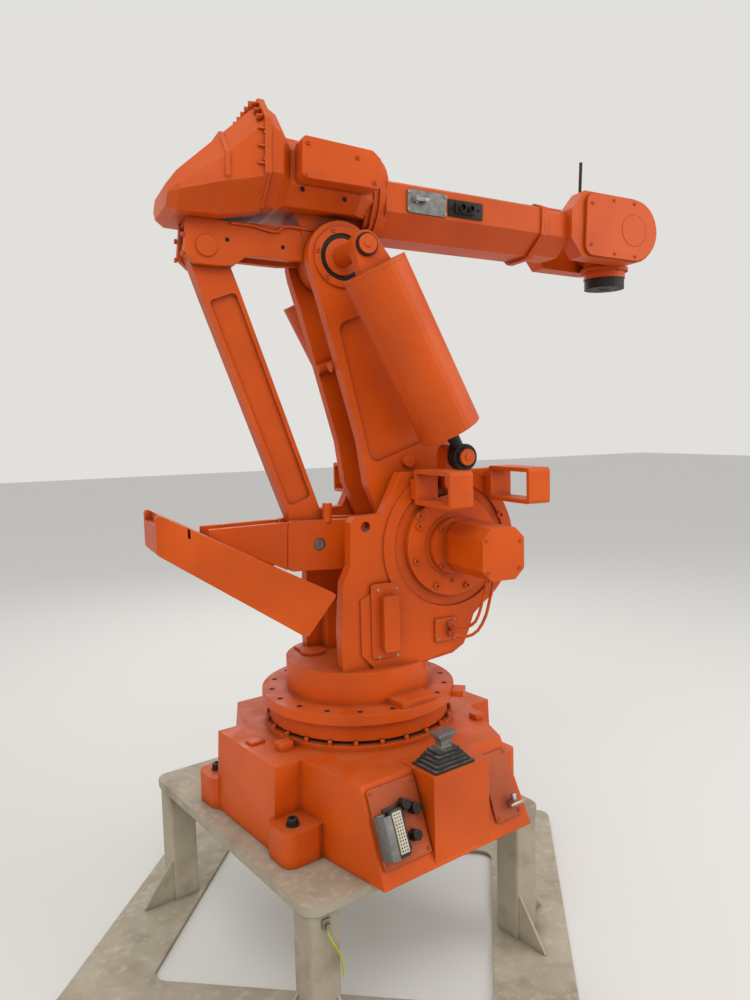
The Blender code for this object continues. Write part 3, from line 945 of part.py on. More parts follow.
def place_on_origin():
    """Move the whole model so that the middle of its box's underside is the origin."""
    bpy.context.view_layer.update()
    graph = bpy.context.evaluated_depsgraph_get()
    points = []
    for obj in bpy.data.objects:
        if obj.type in {"MESH", "CURVE"}:
            solid = obj.evaluated_get(graph)
            mesh = solid.to_mesh()
            points += [solid.matrix_world @ vertex.co for vertex in mesh.vertices]
            solid.to_mesh_clear()
    low = Vector(min(p[axis] for p in points) for axis in range(3))
    high = Vector(max(p[axis] for p in points) for axis in range(3))
    shift = Vector(((low.x + high.x) / 2, (low.y + high.y) / 2, low.z))
    for obj in bpy.data.objects:
        if not obj.parent:
            obj.location -= shift


def main():
    clear_scene()
    orange = paint("orange_paint", (0.60, 0.09, 0.015), 0.35)
    black = paint("black_rubber", (0.02, 0.02, 0.02), 0.7)
    grey = paint("grey_metal", (0.3, 0.3, 0.3), 0.45, 0.6)
    steel = paint("stand_paint", (0.36, 0.34, 0.29), 0.6)
    dark = paint("dark_steel", (0.02, 0.02, 0.02), 0.5, 0.6)
    bare = paint("bare_steel", (0.35, 0.35, 0.35), 0.35, 1.0)
    copper = paint("tinned_copper", (0.45, 0.42, 0.36), 0.4, 1.0)
    yellow = paint("earth_wire_sheath", (0.35, 0.42, 0.05), 0.5)
    stand(steel, copper, yellow)
    base(orange, black, dark, grey)
    column_pivot = column(orange)
    arm_pivot = lower_arm(orange, bare, column_pivot)
    springs(orange, bare, column_pivot, arm_pivot)
    crank_pivot = crank(orange, bare, arm_pivot)
    counterweight(orange, crank_pivot)
    tie_rod(orange, crank_pivot)
    upper_pivot = upper_arm(orange, arm_pivot)
    forearm(orange, dark, grey, upper_pivot)
    place_on_origin()


main()
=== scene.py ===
import json
import math

import bmesh
import bpy
from mathutils import Matrix, Vector


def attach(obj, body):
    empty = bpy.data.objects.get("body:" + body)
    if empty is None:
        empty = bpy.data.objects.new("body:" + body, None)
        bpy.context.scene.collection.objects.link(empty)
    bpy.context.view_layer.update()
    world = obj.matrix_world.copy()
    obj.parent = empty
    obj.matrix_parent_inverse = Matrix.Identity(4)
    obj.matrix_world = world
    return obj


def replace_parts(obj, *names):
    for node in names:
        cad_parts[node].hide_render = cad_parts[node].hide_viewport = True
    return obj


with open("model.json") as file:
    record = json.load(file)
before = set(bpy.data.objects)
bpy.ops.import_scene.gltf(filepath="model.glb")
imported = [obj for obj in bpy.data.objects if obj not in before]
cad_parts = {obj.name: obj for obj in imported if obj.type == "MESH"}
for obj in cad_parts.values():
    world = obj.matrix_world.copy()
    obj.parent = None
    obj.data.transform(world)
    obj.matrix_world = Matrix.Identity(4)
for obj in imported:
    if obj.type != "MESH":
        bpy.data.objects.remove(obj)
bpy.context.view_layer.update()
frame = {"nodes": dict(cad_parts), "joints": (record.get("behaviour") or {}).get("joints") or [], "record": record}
print("stage: frame loaded")

# Axis 1 stands at the arm's middle; the camera and the loose pieces are placed from it
joints = {joint["name"]: Vector(joint["pos_m"]) for joint in frame["joints"]}
axis1 = Vector((*joints["axis_1"][:2], 0))

studio = {
    "imageHeight": 1000,  # pixels, the long side of a 750 x 1000 picture
    "focalPixels": 785.6,
    "sensor": 36,  # mm, along the long side
    "eye": Vector((-1.1228, -2.6103, 1.832)),  # from axis 1 at floor level
    "yaw": math.radians(65.12),
    "pitch": math.radians(-5.44),
    "roll": math.radians(-1.41),
    "floorSize": 60,
    "floorColour": "#D9D7D2",
    "floorRoughness": 0.9,
    "backColour": "#E2E0DC",
    "skyStrength": 0.72,
    # Name, place, target, size and energy; the places are from axis 1 at floor level
    "lamps": (("keyLamp", (-2.5, -4.0, 6.5), (0, 0, 1.2), 5.0, 195),
              ("fillLamp", (4.5, -3.0, 3.5), (0, 0, 1.2), 4.0, 90),
              ("rimLamp", (1.5, 5.0, 4.5), (0, 0, 1.4), 3.0, 90)),
}


# sRGB hex to linear, with an alpha of 1
def linear(hexColour):
    made = []
    for k in (1, 3, 5):
        value = int(hexColour[k:k + 2], 16) / 255
        made.append(value / 12.92 if value <= 0.04045 else ((value + 0.055) / 1.055) ** 2.4)
    return (*made, 1)


# One node with its settings; an input is a value or another node's socket, in0 the first one
def addNode(tree, kind, settings=None, **inputs):
    made = tree.nodes.new(kind)
    for name, value in (settings or {}).items():
        setattr(made, name, value)
    for name, value in inputs.items():
        socket = made.inputs[int(name[2:])] if name.startswith("in") else made.inputs[name.replace("_", " ")]
        if isinstance(value, bpy.types.NodeSocket):
            tree.links.new(value, socket)
        else:
            socket.default_value = value
    return made


def setCamera():
    yaw, pitch, roll = studio["yaw"], studio["pitch"], studio["roll"]
    forward = Vector((math.cos(yaw) * math.cos(pitch), math.sin(yaw) * math.cos(pitch), math.sin(pitch)))
    level = Vector((math.sin(yaw), -math.cos(yaw), 0))
    upright = level.cross(forward)
    right = math.cos(roll) * level + math.sin(roll) * upright
    above = -math.sin(roll) * level + math.cos(roll) * upright
    matrix = Matrix((right, above, -forward)).transposed().to_4x4()
    matrix.translation = axis1 + studio["eye"]
    lens = bpy.data.cameras.new("photoCamera")
    lens.sensor_width = studio["sensor"]
    lens.lens = studio["focalPixels"] * studio["sensor"] / studio["imageHeight"]
    camera = bpy.data.objects.new("photoCamera", lens)
    camera.matrix_world = matrix
    bpy.context.scene.collection.objects.link(camera)
    bpy.context.scene.camera = camera


def areaLamp(name, place, target, size, energy):
    lamp = bpy.data.lights.new(name, "AREA")
    lamp.size = size
    lamp.energy = energy
    obj = bpy.data.objects.new(name, lamp)
    obj.location = axis1 + Vector(place)
    obj.rotation_euler = (axis1 + Vector(target) - obj.location).to_track_quat("-Z", "Y").to_euler()
    bpy.context.scene.collection.objects.link(obj)


def setStage():
    floor = bmesh.new()
    bmesh.ops.create_grid(floor, x_segments=1, y_segments=1, size=studio["floorSize"] / 2)
    mesh = bpy.data.meshes.new("floor")
    floor.to_mesh(mesh)
    floor.free()
    obj = bpy.data.objects.new("floor", mesh)
    bpy.context.scene.collection.objects.link(obj)
    paper = bpy.data.materials.new("paleFloor")
    paper.use_nodes = True
    shader = paper.node_tree.nodes["Principled BSDF"]
    shader.inputs["Base Color"].default_value = linear(studio["floorColour"])
    shader.inputs["Roughness"].default_value = studio["floorRoughness"]
    mesh.materials.append(paper)
    world = bpy.data.worlds.new("studio")
    bpy.context.scene.world = world
    world.use_nodes = True
    tree = world.node_tree
    tree.nodes.clear()
    seen = addNode(tree, "ShaderNodeLightPath")
    light = addNode(tree, "ShaderNodeBackground", Color=(1, 1, 1, 1), Strength=studio["skyStrength"])
    pale = addNode(tree, "ShaderNodeBackground", Color=linear(studio["backColour"]), Strength=1.0)
    both = addNode(tree, "ShaderNodeMixShader", in0=seen.outputs["Is Camera Ray"], in1=light.outputs[0],
                   in2=pale.outputs[0])
    addNode(tree, "ShaderNodeOutputWorld", Surface=both.outputs[0])
    bpy.context.scene.view_settings.view_transform = "Standard"
    for lamp in studio["lamps"]:
        areaLamp(*lamp)


setCamera()
setStage()
print("stage: camera and lights")

# Frames that pieces are placed in: the turned stand, the sloping connector face, and each arm's own axis
layout = {
    "standTurn": math.radians(12.2),
    "tableTop": 0.48,
    "slopeFoot": (0, -0.59, 0.4803),
    "slopeLean": math.atan2(0.11, 0.28),
    "armLean": math.radians(-19.5),
    "armLong": 1.05,
    "forearmFall": math.radians(2.4),
    "forearmRise": 0.225,
    "springFootRise": 0.312,
}
standFrame = Matrix.Translation(axis1) @ Matrix.Rotation(layout["standTurn"], 4, "Z")
tableFrame = standFrame @ Matrix.Translation((0, 0, layout["tableTop"]))
slopeFrame = standFrame @ Matrix.Translation(layout["slopeFoot"]) @ Matrix.Rotation(-layout["slopeLean"], 4, "X")
turntableFrame = Matrix.Translation(axis1 + Vector((0, 0, layout["tableTop"])))
shoulderFrame = Matrix.Translation(joints["axis_2"])
armFrame = shoulderFrame @ Matrix.Rotation(layout["armLean"], 4, "Y")
crankFrame = shoulderFrame @ Matrix.Rotation(layout["forearmFall"], 4, "Y")
elbowFrame = Matrix.Translation(joints["axis_3"]) @ Matrix.Rotation(layout["forearmFall"], 4, "Y")
forearmFrame = elbowFrame @ Matrix.Translation((0, 0, layout["forearmRise"]))
tiltFrame = Matrix.Translation(joints["axis_5"])


# Mixes two colours by a factor, each a value or a socket
def mixColour(tree, factor, low, high, blend="MIX"):
    made = addNode(tree, "ShaderNodeMix", {"data_type": "RGBA", "blend_type": blend})
    for socket, value in ((made.inputs[0], factor), (made.inputs[6], low), (made.inputs[7], high)):
        if isinstance(value, bpy.types.NodeSocket):
            tree.links.new(value, socket)
        else:
            socket.default_value = value
    return made.outputs[2]


# Noise scale that gives features of about this size
def perMetre(millimetres):
    return 1000 / millimetres


# Orange two-pack machine enamel, sprayed in one thick coat over iron castings: semi-gloss with a slight
# orange peel, dusty and paler where a face looks up, darker in corners by painted shade, and worn pale along its
# edges
enamel = {
    "fresh": "#D45405",
    "faded": "#BF4804",
    "panelFresh": "#BC5424",
    "panelFaded": "#A34A26",
    "dust": "#A8633C",
    # Painted shade, laid into corners by ambient occlusion
    "cornerShade": "#4A2012",
    "worn": "#E2702C",
    "chip": "#6B6560",
    "dustShare": 0.55,
    "panelDustShare": 0.6,
    "chipShare": 0.8,
    "roughness": 0.38,
    "dustyRoughness": 0.72,
    "smearRoughness": 0.12,  # added where the coat is smeared
    "specular": 0.28,
    "dustyFrom": 0.6,  # share of dust from which the coat is as rough as it gets
    "peelStrength": 0.10,
    "peelDepth": 0.0015,  # metres
    "peelMm": 7.0,
    "peelDetail": 3.0,
    # Masks of noise: size in mm, where it starts, where it is full, and the noise's detail
    "patch": (300.0, 0.35, 0.65, 5.0),
    "cloud": (75.0, 0.30, 0.75, 7.0),
    "wear": (40, 0.42, 0.6, 4.0),
    "smear": (140, 0.2, 0.8, 6.0),
    "specks": (5.0, 0.60, 0.66, 2.0),
    "edgeMm": 3.5,
}

# Rolled steel plate under one thin coat of pale grey paint: matt, scuffed, with brown dust and rust specks
standPaint = {
    "colour": "#9C917D",
    "pale": "#B1A691",
    "stain": "#75654F",
    "scuff": "#C6BCA8",
    "rust": "#6E452C",
    # Painted shade, laid into corners by ambient occlusion
    "cornerShade": "#544A3E",
    "stainShare": 0.55,
    "scuffShare": 0.5,
    "roughness": 0.62,
    "patchRoughness": 0.15,
    "grainStrength": 0.15,
    "grainDepth": 0.001,
    "grainMm": 4,
    "grainDetail": 5.0,
    "patch": (220.0, 0.3, 0.7, 6.0),
    "stains": (120, 0.52, 0.72, 8.0),
    "scuffs": (30.0, 0.5, 0.7, 9.0),
    "specks": (6.0, 0.52, 0.62, 4.0),
    "edgeMm": 3.0,
}

# What the small fittings' finishes share
worked = {
    "dust": "#8E7F70",
    # Painted shade, laid into corners by ambient occlusion, and how much of it
    "cornerShade": "#17120E",
    "cornerShadeShare": 0.6,
    "patchRoughness": 0.18,
    "grainStrength": 0.18,
    "grainDepth": 0.0006,
    "grainDetail": 4.0,
    "patchLimits": (0.3, 0.7, 6.0),
    "dustSpots": (25, 0.35, 0.7, 6.0),
    "edgeMm": 1.5,
}

# Where a surface counts as an edge, as lying flat and as deep in a corner, where painted shade goes
weather = {
    "edgeFrom": 0.985,  # match of the rounded and the flat normal
    "edgeTo": 0.90,
    "lyingFrom": 0.35,  # upward share of the normal
    "cornerReach": 0.045,  # metres
    "openTo": 0.2,
    "openFrom": 0.8,
    "shadeShare": 0.75,
    "bevelSamples": 4,
    "cornerSamples": 6,
}


# A value's way from one range to another, held at its ends
def remap(tree, value, fromLow, fromHigh, toLow=0.0, toHigh=1.0):
    return addNode(tree, "ShaderNodeMapRange", {"clamp": True}, Value=value, From_Min=fromLow, From_Max=fromHigh,
                   To_Min=toLow, To_Max=toHigh).outputs[0]


# The parts of a weathered coat that all finishes share, with the mask of painted shade in corners
def weatherNodes(tree, edgeMm):
    place = addNode(tree, "ShaderNodeTexCoord").outputs["Object"]
    rounded = addNode(tree, "ShaderNodeBevel", {"samples": weather["bevelSamples"]}, Radius=edgeMm / 1000)
    flat = addNode(tree, "ShaderNodeNewGeometry")
    match = addNode(tree, "ShaderNodeVectorMath", {"operation": "DOT_PRODUCT"}, in0=rounded.outputs[0],
                    in1=flat.outputs["Normal"])
    edge = remap(tree, match.outputs["Value"], weather["edgeFrom"], weather["edgeTo"])
    upward = addNode(tree, "ShaderNodeSeparateXYZ", Vector=flat.outputs["Normal"])
    lying = remap(tree, upward.outputs["Z"], weather["lyingFrom"], 1.0)
    corner = addNode(tree, "ShaderNodeAmbientOcclusion", {"samples": weather["cornerSamples"]},
                     Distance=weather["cornerReach"])
    # The mask of painted shade: strongest where ambient occlusion finds a corner
    deep = remap(tree, corner.outputs["AO"], weather["openTo"], weather["openFrom"], weather["shadeShare"], 0.0)
    return place, rounded.outputs[0], edge, lying, deep


# a times b
def product(tree, a, b):
    return addNode(tree, "ShaderNodeMath", {"operation": "MULTIPLY"}, in0=a, in1=b).outputs[0]


# Noise above a threshold, as a soft mask
def spots(tree, place, millimetres, low, high, detail):
    noise = addNode(tree, "ShaderNodeTexNoise", Vector=place, Scale=perMetre(millimetres), Detail=detail)
    return remap(tree, noise.outputs["Fac"], low, high)


# A material with its tree and its shader
def newMaterial(name):
    made = bpy.data.materials.new(name)
    made.use_nodes = True
    return made, made.node_tree, made.node_tree.nodes["Principled BSDF"]


# Colour, roughness and a bump of fine noise on a shader's sockets
def finishShader(tree, shader, colour, source, factor, base, place, grainMm, detail, strength, depth, rounded):
    tree.links.new(colour, shader.inputs["Base Color"])
    rough = addNode(tree, "ShaderNodeMath", {"operation": "MULTIPLY_ADD"}, in0=source, in1=factor, in2=base)
    tree.links.new(rough.outputs[0], shader.inputs["Roughness"])
    grain = addNode(tree, "ShaderNodeTexNoise", Vector=place, Scale=perMetre(grainMm), Detail=detail)
    bump = addNode(tree, "ShaderNodeBump", Strength=strength, Distance=depth, Height=grain.outputs["Fac"],
                   Normal=rounded)
    tree.links.new(bump.outputs[0], shader.inputs["Normal"])


def makeEnamel(name, dustShare, fresh, faded):
    made, tree, shader = newMaterial(name)
    place, rounded, edge, lying, deep = weatherNodes(tree, enamel["edgeMm"])
    patch = spots(tree, place, *enamel["patch"])
    base = mixColour(tree, patch, linear(faded), linear(fresh))
    cloud = spots(tree, place, *enamel["cloud"])
    dusty = product(tree, product(tree, lying, cloud), dustShare)
    colour = mixColour(tree, dusty, base, linear(enamel["dust"]))
    worn = product(tree, edge, spots(tree, place, *enamel["wear"]))
    colour = mixColour(tree, worn, colour, linear(enamel["worn"]))
    specks = product(tree, edge, spots(tree, place, *enamel["specks"]))
    colour = mixColour(tree, product(tree, specks, enamel["chipShare"]), colour, linear(enamel["chip"]))
    # Painted shade in corners and between parts
    colour = mixColour(tree, deep, colour, linear(enamel["cornerShade"]))
    rough = remap(tree, dusty, 0.0, enamel["dustyFrom"], enamel["roughness"], enamel["dustyRoughness"])
    smear = spots(tree, place, *enamel["smear"])
    finishShader(tree, shader, colour, smear, enamel["smearRoughness"], rough, place, enamel["peelMm"],
                 enamel["peelDetail"], enamel["peelStrength"], enamel["peelDepth"], rounded)
    shader.inputs["Specular IOR Level"].default_value = enamel["specular"]
    return made


def makeStandPaint():
    made, tree, shader = newMaterial("greyStandPaint")
    place, rounded, edge, lying, deep = weatherNodes(tree, standPaint["edgeMm"])
    patch = spots(tree, place, *standPaint["patch"])
    colour = mixColour(tree, patch, linear(standPaint["colour"]), linear(standPaint["pale"]))
    stain = product(tree, spots(tree, place, *standPaint["stains"]), standPaint["stainShare"])
    colour = mixColour(tree, stain, colour, linear(standPaint["stain"]))
    scuff = product(tree, lying, spots(tree, place, *standPaint["scuffs"]))
    colour = mixColour(tree, product(tree, scuff, standPaint["scuffShare"]), colour, linear(standPaint["scuff"]))
    rust = product(tree, edge, spots(tree, place, *standPaint["specks"]))
    colour = mixColour(tree, rust, colour, linear(standPaint["rust"]))
    # Painted shade in corners and between parts
    colour = mixColour(tree, deep, colour, linear(standPaint["cornerShade"]))
    finishShader(tree, shader, colour, patch, standPaint["patchRoughness"], standPaint["roughness"], place,
                 standPaint["grainMm"], standPaint["grainDetail"], standPaint["grainStrength"],
                 standPaint["grainDepth"], rounded)
    return made


# A worked surface with its own grain: two near colours in patches, dust where it lies, a fine bump
def makeWorked(name, colour, second, roughness, metallic=0.0, grainMm=2.0, patchMm=40.0, dustShare=0.3):
    made, tree, shader = newMaterial(name)
    place, rounded, _, lying, deep = weatherNodes(tree, worked["edgeMm"])
    patch = spots(tree, place, patchMm, *worked["patchLimits"])
    tone = mixColour(tree, patch, linear(colour), linear(second))
    dusty = product(tree, product(tree, lying, spots(tree, place, *worked["dustSpots"])), dustShare)
    tone = mixColour(tree, dusty, tone, linear(worked["dust"]))
    # Painted shade in corners and between parts
    tone = mixColour(tree, product(tree, deep, worked["cornerShadeShare"]), tone, linear(worked["cornerShade"]))
    finishShader(tree, shader, tone, patch, worked["patchRoughness"], roughness, place, grainMm,
                 worked["grainDetail"], worked["grainStrength"], worked["grainDepth"], rounded)
    shader.inputs["Metallic"].default_value = metallic
    return made


# Name, two colours, roughness, metal share, grain and patch sizes in mm, and dust where it isn't the usual
finishes = {
    "orange_paint": makeEnamel("machineEnamel", enamel["dustShare"], enamel["fresh"], enamel["faded"]),
    "stand_paint": makeStandPaint(),
    # Turned and ground steel with a film of oil: cool grey
    "bare_steel": makeWorked("groundSteel", "#8B8A87", "#6F6E6C", 0.30, 1.0, 0.8, 25),
    # Blackened steel under old grease and grit: near black, half matt
    "dark_steel": makeWorked("greasySteel", "#211E1C", "#2E2A26", 0.45, 0.5, 3.0, 18),
    # Die-cast zinc and aluminium housings, never polished: dull grey with a fine cast grain
    "grey_metal": makeWorked("dieCastZinc", "#8A8985", "#74736F", 0.42, 0.75, 1.5, 22),
    # Moulded black rubber, dusty on its folds
    "black_rubber": makeWorked("dustyRubber", "#1E1D1C", "#2B2927", 0.68, 0.0, 1.2, 30, 0.55),
    # Tinned copper lug, dulled: a warm pale grey
    "tinned_copper": makeWorked("tinnedCopper", "#B3A893", "#8F8676", 0.38, 0.9, 1.0, 8),
    # Green and yellow plastic of the earth wire, seen as one colour at this size
    "earth_wire_sheath": makeWorked("wireSheath", "#B7C230", "#9AA82A", 0.45, 0.0, 1.0, 12),
}
extraFinishes = {
    # The loose panels were sprayed in a thinner, duller coat
    "oldEnamel": makeEnamel("panelEnamel", enamel["panelDustShare"], enamel["panelFresh"], enamel["panelFaded"]),
    # Clear plated steel of fittings and panel hardware
    "plated": makeWorked("platedSteel", "#B9B7B1", "#9A9893", 0.26, 0.95, 0.7, 12, 0.2),
    # Glass-filled plastic of the connector's insert: warm ivory
    "insert": makeWorked("insertPlastic", "#CFC7B0", "#BDB49C", 0.5, 0.0, 0.8, 10, 0.25),
    "blackPlastic": makeWorked("blackPlastic", "#191817", "#23211F", 0.42, 0.0, 1.0, 14, 0.3),
    # Shade inside a drilled hole, with old grease
    "hole": makeWorked("drilledHole", "#120C09", "#1D120C", 0.8, 0.0, 2.0, 10, 0.0),
}
slotOf = {part["node"]: part["material_slot"] for part in frame["record"]["subparts"]}
for name, obj in frame["nodes"].items():
    obj.data.materials.clear()
    obj.data.materials.append(finishes[slotOf[name]])
for name in ("connector_panel", "service_panel"):
    frame["nodes"][name].data.materials[0] = extraFinishes["oldEnamel"]
for side in ("near", "far"):
    frame["nodes"][f"spring_rod_{side}"].data.materials[0] = finishes["dark_steel"]
print("stage: finishes on the solids")


# A matrix whose +Z stands along a direction at a point of a frame
def aim(placeFrame, point, direction):
    return placeFrame @ Matrix.Translation(point) @ Vector(direction).to_track_quat("Z", "Y").to_matrix().to_4x4()


# A round or many-sided drum on a face; gives its upper face, still flat
def addDrum(bm, place, radius, height, sides=24):
    made = bmesh.ops.create_cone(bm, cap_ends=True, segments=sides, radius1=radius, radius2=radius, depth=height,
                                 matrix=place @ Matrix.Translation((0, 0, height / 2)))
    faces = {face for vert in made["verts"] for face in vert.link_faces}
    up = place.to_3x3() @ Vector((0, 0, 1))
    top = max(faces, key=lambda face: face.calc_center_median().dot(up))
    top.normal_update()
    return top


# Narrows a face inwards and moves it along its own normal
def inset(bm, face, thickness, depth):
    face.normal_update()
    bmesh.ops.inset_individual(bm, faces=[face], thickness=thickness, depth=depth)


# Small forms that repeat, in metres or as shares of a head's height or radius
forms = {
    "sink": Matrix.Translation((0, 0, -0.0005)),  # a foot in its face leaves no gap
    "washerSink": Matrix.Translation((0, 0, -0.001)),
    "washerHeight": 0.004,
    "washerEdge": (0.0006, 0.0005),
    "chamferShare": 0.14,
    "draftShare": 0.03,
    "socketDepthShare": 0.5,
    "ringEdge": (0.001, 0.0006),
    "ringDraft": 0.0005,
}


# A screw head with a chamfered edge and a sunk socket, on a washer where one is given
def addScrew(bm, place, radius, height, sides=20, socket=0.5, washer=0.0):
    if washer:
        rim = addDrum(bm, place @ forms["washerSink"], washer, forms["washerHeight"])
        inset(bm, rim, *forms["washerEdge"])
    chamfer = height * forms["chamferShare"]
    top = addDrum(bm, place @ forms["sink"], radius, height - chamfer, sides)
    inset(bm, top, chamfer, chamfer)
    if socket:
        inset(bm, top, radius * (1 - socket) - chamfer, 0)
        inset(bm, top, radius * forms["draftShare"], -height * forms["socketDepthShare"])


# A raised ring with a sunk middle
def addRing(bm, place, outer, inner, height, sides, floor=0.0006):
    top = addDrum(bm, place @ forms["sink"], outer, height, sides)
    inset(bm, top, *forms["ringEdge"])
    inset(bm, top, outer - inner - forms["ringEdge"][0], 0)
    inset(bm, top, forms["ringDraft"], floor - height)


# A box between two corners of a frame with its edges rounded
def addBox(bm, placeFrame, low, high, rounding):
    low, high = Vector(low), Vector(high)
    made = bmesh.ops.create_cube(bm, size=1, matrix=placeFrame @ Matrix.Translation((low + high) / 2)
                                 @ Matrix.Diagonal((*(high - low), 1)))
    edges = {edge for vert in made["verts"] for edge in vert.link_edges}
    bmesh.ops.bevel(bm, geom=list(edges), offset=rounding, segments=2, profile=0.5, affect="EDGES", material=-1)


sharpFrom = math.radians(32)  # a smaller angle between two faces is shaded smooth


# Makes an object of a mesh, smooth except at its edges, and hands it to its body
def newPiece(name, bm, finish, body):
    mesh = bpy.data.meshes.new(name)
    bmesh.ops.recalc_face_normals(bm, faces=bm.faces)
    bm.to_mesh(mesh)
    bm.free()
    mesh.shade_smooth()
    mesh.set_sharp_from_angle(angle=sharpFrom)
    mesh.materials.append(finish)
    obj = bpy.data.objects.new(name, mesh)
    bpy.context.scene.collection.objects.link(obj)
    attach(obj, body)
    return obj


# A curve through points, smooth between them
def flowing(points, steps=6):
    ends = [points[0] * 2 - points[1], *points, points[-1] * 2 - points[-2]]
    out = []
    for a, b, c, d in zip(ends, ends[1:], ends[2:], ends[3:]):
        for k in range(steps):
            t = k / steps
            out.append((b * 2 + (c - a) * t + (a * 2 - b * 5 + c * 4 - d) * t ** 2
                        + (b * 3 - a - c * 3 + d) * t ** 3) / 2)
    return [*out, points[-1]]


# One open polyline with a round section
def newCurve(name, points, radius, finish):
    curve = bpy.data.curves.new(name, "CURVE")
    curve.dimensions = "3D"
    curve.bevel_depth = radius
    curve.bevel_resolution = 4
    curve.use_fill_caps = True
    spline = curve.splines.new("POLY")
    spline.points.add(len(points) - 1)
    for slot, point in zip(spline.points, points):
        slot.co = (*point, 1)
    curve.materials.append(finish)
    obj = bpy.data.objects.new(name, curve)
    bpy.context.scene.collection.objects.link(obj)
    return obj


def hose(name, placeFrame, points, radius, finish, body):
    obj = newCurve(name, flowing([placeFrame @ Vector(p) for p in points]), radius, finish)
    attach(obj, body)


up, out, back, down, ahead = (0, 0, 1), (0, -1, 0), (-1, 0, 0), (0, 0, -1), (1, 0, 0)
orange, dark, grey, rubber = (finishes[key] for key in
                              ("orange_paint", "dark_steel", "grey_metal", "black_rubber"))
hole, plated = extraFinishes["hole"], extraFinishes["plated"]


# Drilled holes show as dark discs of painted shade just proud of the face
def addHoles(bm, placeFrame, places, direction, radius, height=0.0004, sides=20):
    for point in places:
        addDrum(bm, aim(placeFrame, point, direction), radius, height, sides)


def addScrews(bm, placeFrame, places, direction, radius, height, sides=16, socket=0.5, washer=0.0):
    for point in places:
        addScrew(bm, aim(placeFrame, point, direction), radius, height, sides, socket, washer)


# Boxes from rows of low corner, high corner and rounding
def addBoxes(bm, placeFrame, rows):
    for low, high, rounding in rows:
        addBox(bm, placeFrame, low, high, rounding)


# Places round a circle in the plane of X and Z, at a distance along Y
def circlePlaces(count, radius, first, y, step=None):
    angles = [math.radians(first + (step or 360 / count) * k) for k in range(count)]
    return [(radius * math.cos(angle), y, radius * math.sin(angle)) for angle in angles]


# Places round a circle in the plane of X and Y, for angles in radians
def levelPlaces(radius, z, angles):
    return [(radius * math.cos(angle), radius * math.sin(angle), z) for angle in angles]


# All pairs of two rows of values, at one distance along Y
def gridPlaces(xs, y, zs):
    return [(x, y, z) for x in xs for z in zs]


# All the values below are metres in the frame of the piece that carries them, and angles in degrees. A head is
# radius, height, sides and socket share as addScrews takes them, a drum is radius, height and sides
basePieces = {
    "footBolts": {"x": 0.455, "y": 0.265, "z": 0.1123, "head": (0.018, 0.024, 24, 0.5, 0.022)},
    "ringBolts": {"circle": 0.336, "count": 24, "z": 0.300, "head": (0.0075, 0.016)},
    "pads": (((-0.400, -0.112, 0.262), (-0.350, -0.068, 0.308), 0.004),
             ((-0.450, 0.000, 0.262), (-0.395, 0.045, 0.290), 0.003),
             ((0.285, -0.330, 0.262), (0.330, -0.290, 0.300), 0.004)),
}
connectorFace = {
    "rise": (0, -0.0083, 0),  # the panels' face, out from the slope
    "screws": (((-0.321, -0.162), (0.064, 0.272), (0.0055, 0.004)),
               ((0.142, 0.236), (0.057, 0.250), (0.006, 0.004))),
    "sockets": ((-0.186, 0, 0.192), (-0.221, 0, 0.214), (-0.206, 0, 0.119)),
    "socketRing": (0.0165, 0.011, 0.0285, 28, 0.0278),  # outer, inner, height, sides, depth
    "socketNut": (0.0195, 0.004, 6),
    "tap": (0.205, 0, 0.088),
    "tapDrums": ((0.015, 0.012, 6), (0.010, 0.026, 20)),
    "tapBoxes": (((0.196, -0.034, 0.078), (0.214, -0.020, 0.120), 0.004),
                 ((0.176, -0.038, 0.083), (0.240, -0.032, 0.093), 0.002)),
}
connector = {
    "housing": (((-0.290, -0.026, 0.078), (-0.240, 0.0005, 0.212), 0.004),
                ((-0.296, -0.006, 0.070), (-0.234, 0.0005, 0.220), 0.002),
                ((-0.241, -0.022, 0.088), (-0.234, -0.010, 0.112), 0.002),
                ((-0.241, -0.022, 0.178), (-0.234, -0.010, 0.202), 0.002)),
    "insert": (((-0.282, -0.0285, 0.085), (-0.248, -0.020, 0.205), 0.002),),
    "lid": (((-0.335, -0.062, 0.082), (-0.327, -0.004, 0.208), 0.003),
            ((-0.330, -0.062, 0.082), (-0.308, -0.056, 0.208), 0.002),
            ((-0.330, -0.010, 0.082), (-0.296, -0.004, 0.208), 0.002)),
    "contactXs": (-0.274, -0.265, -0.256),
    "contactY": -0.0284,
    "contactFirst": 0.093,
    "contactStep": 0.0095,
    "contactRows": 12,
    "contactDrum": (0.0022, 0.0006, 10),
}
cableEntry = {
    "centre": (-0.047, -0.520, 0.2843),  # on the table frame, at the base casting's top
    "plate": (((-0.0825, -0.0575, -0.0003), (0.0825, 0.0575, 0.008), 0.003),),
    "folds": 4,
    "foldHigh": 0.013,
    "foldStepShare": 0.85,  # a fold sinks into the one below
    "foldFoot": 0.006,
    "foldRounding": 0.0058,
    "halfWide": 0.072,
    "halfDeep": 0.050,
    "wideStep": 0.009,
    "deepStep": 0.006,
    # Height, half width and half depth of the plug at each level
    "plug": ((0.046, 0.026, 0.018), (0.062, 0.020, 0.014), (0.078, 0.022, 0.015), (0.094, 0.036, 0.022),
             (0.103, 0.037, 0.023)),
    "plugSink": 0.0004,
}


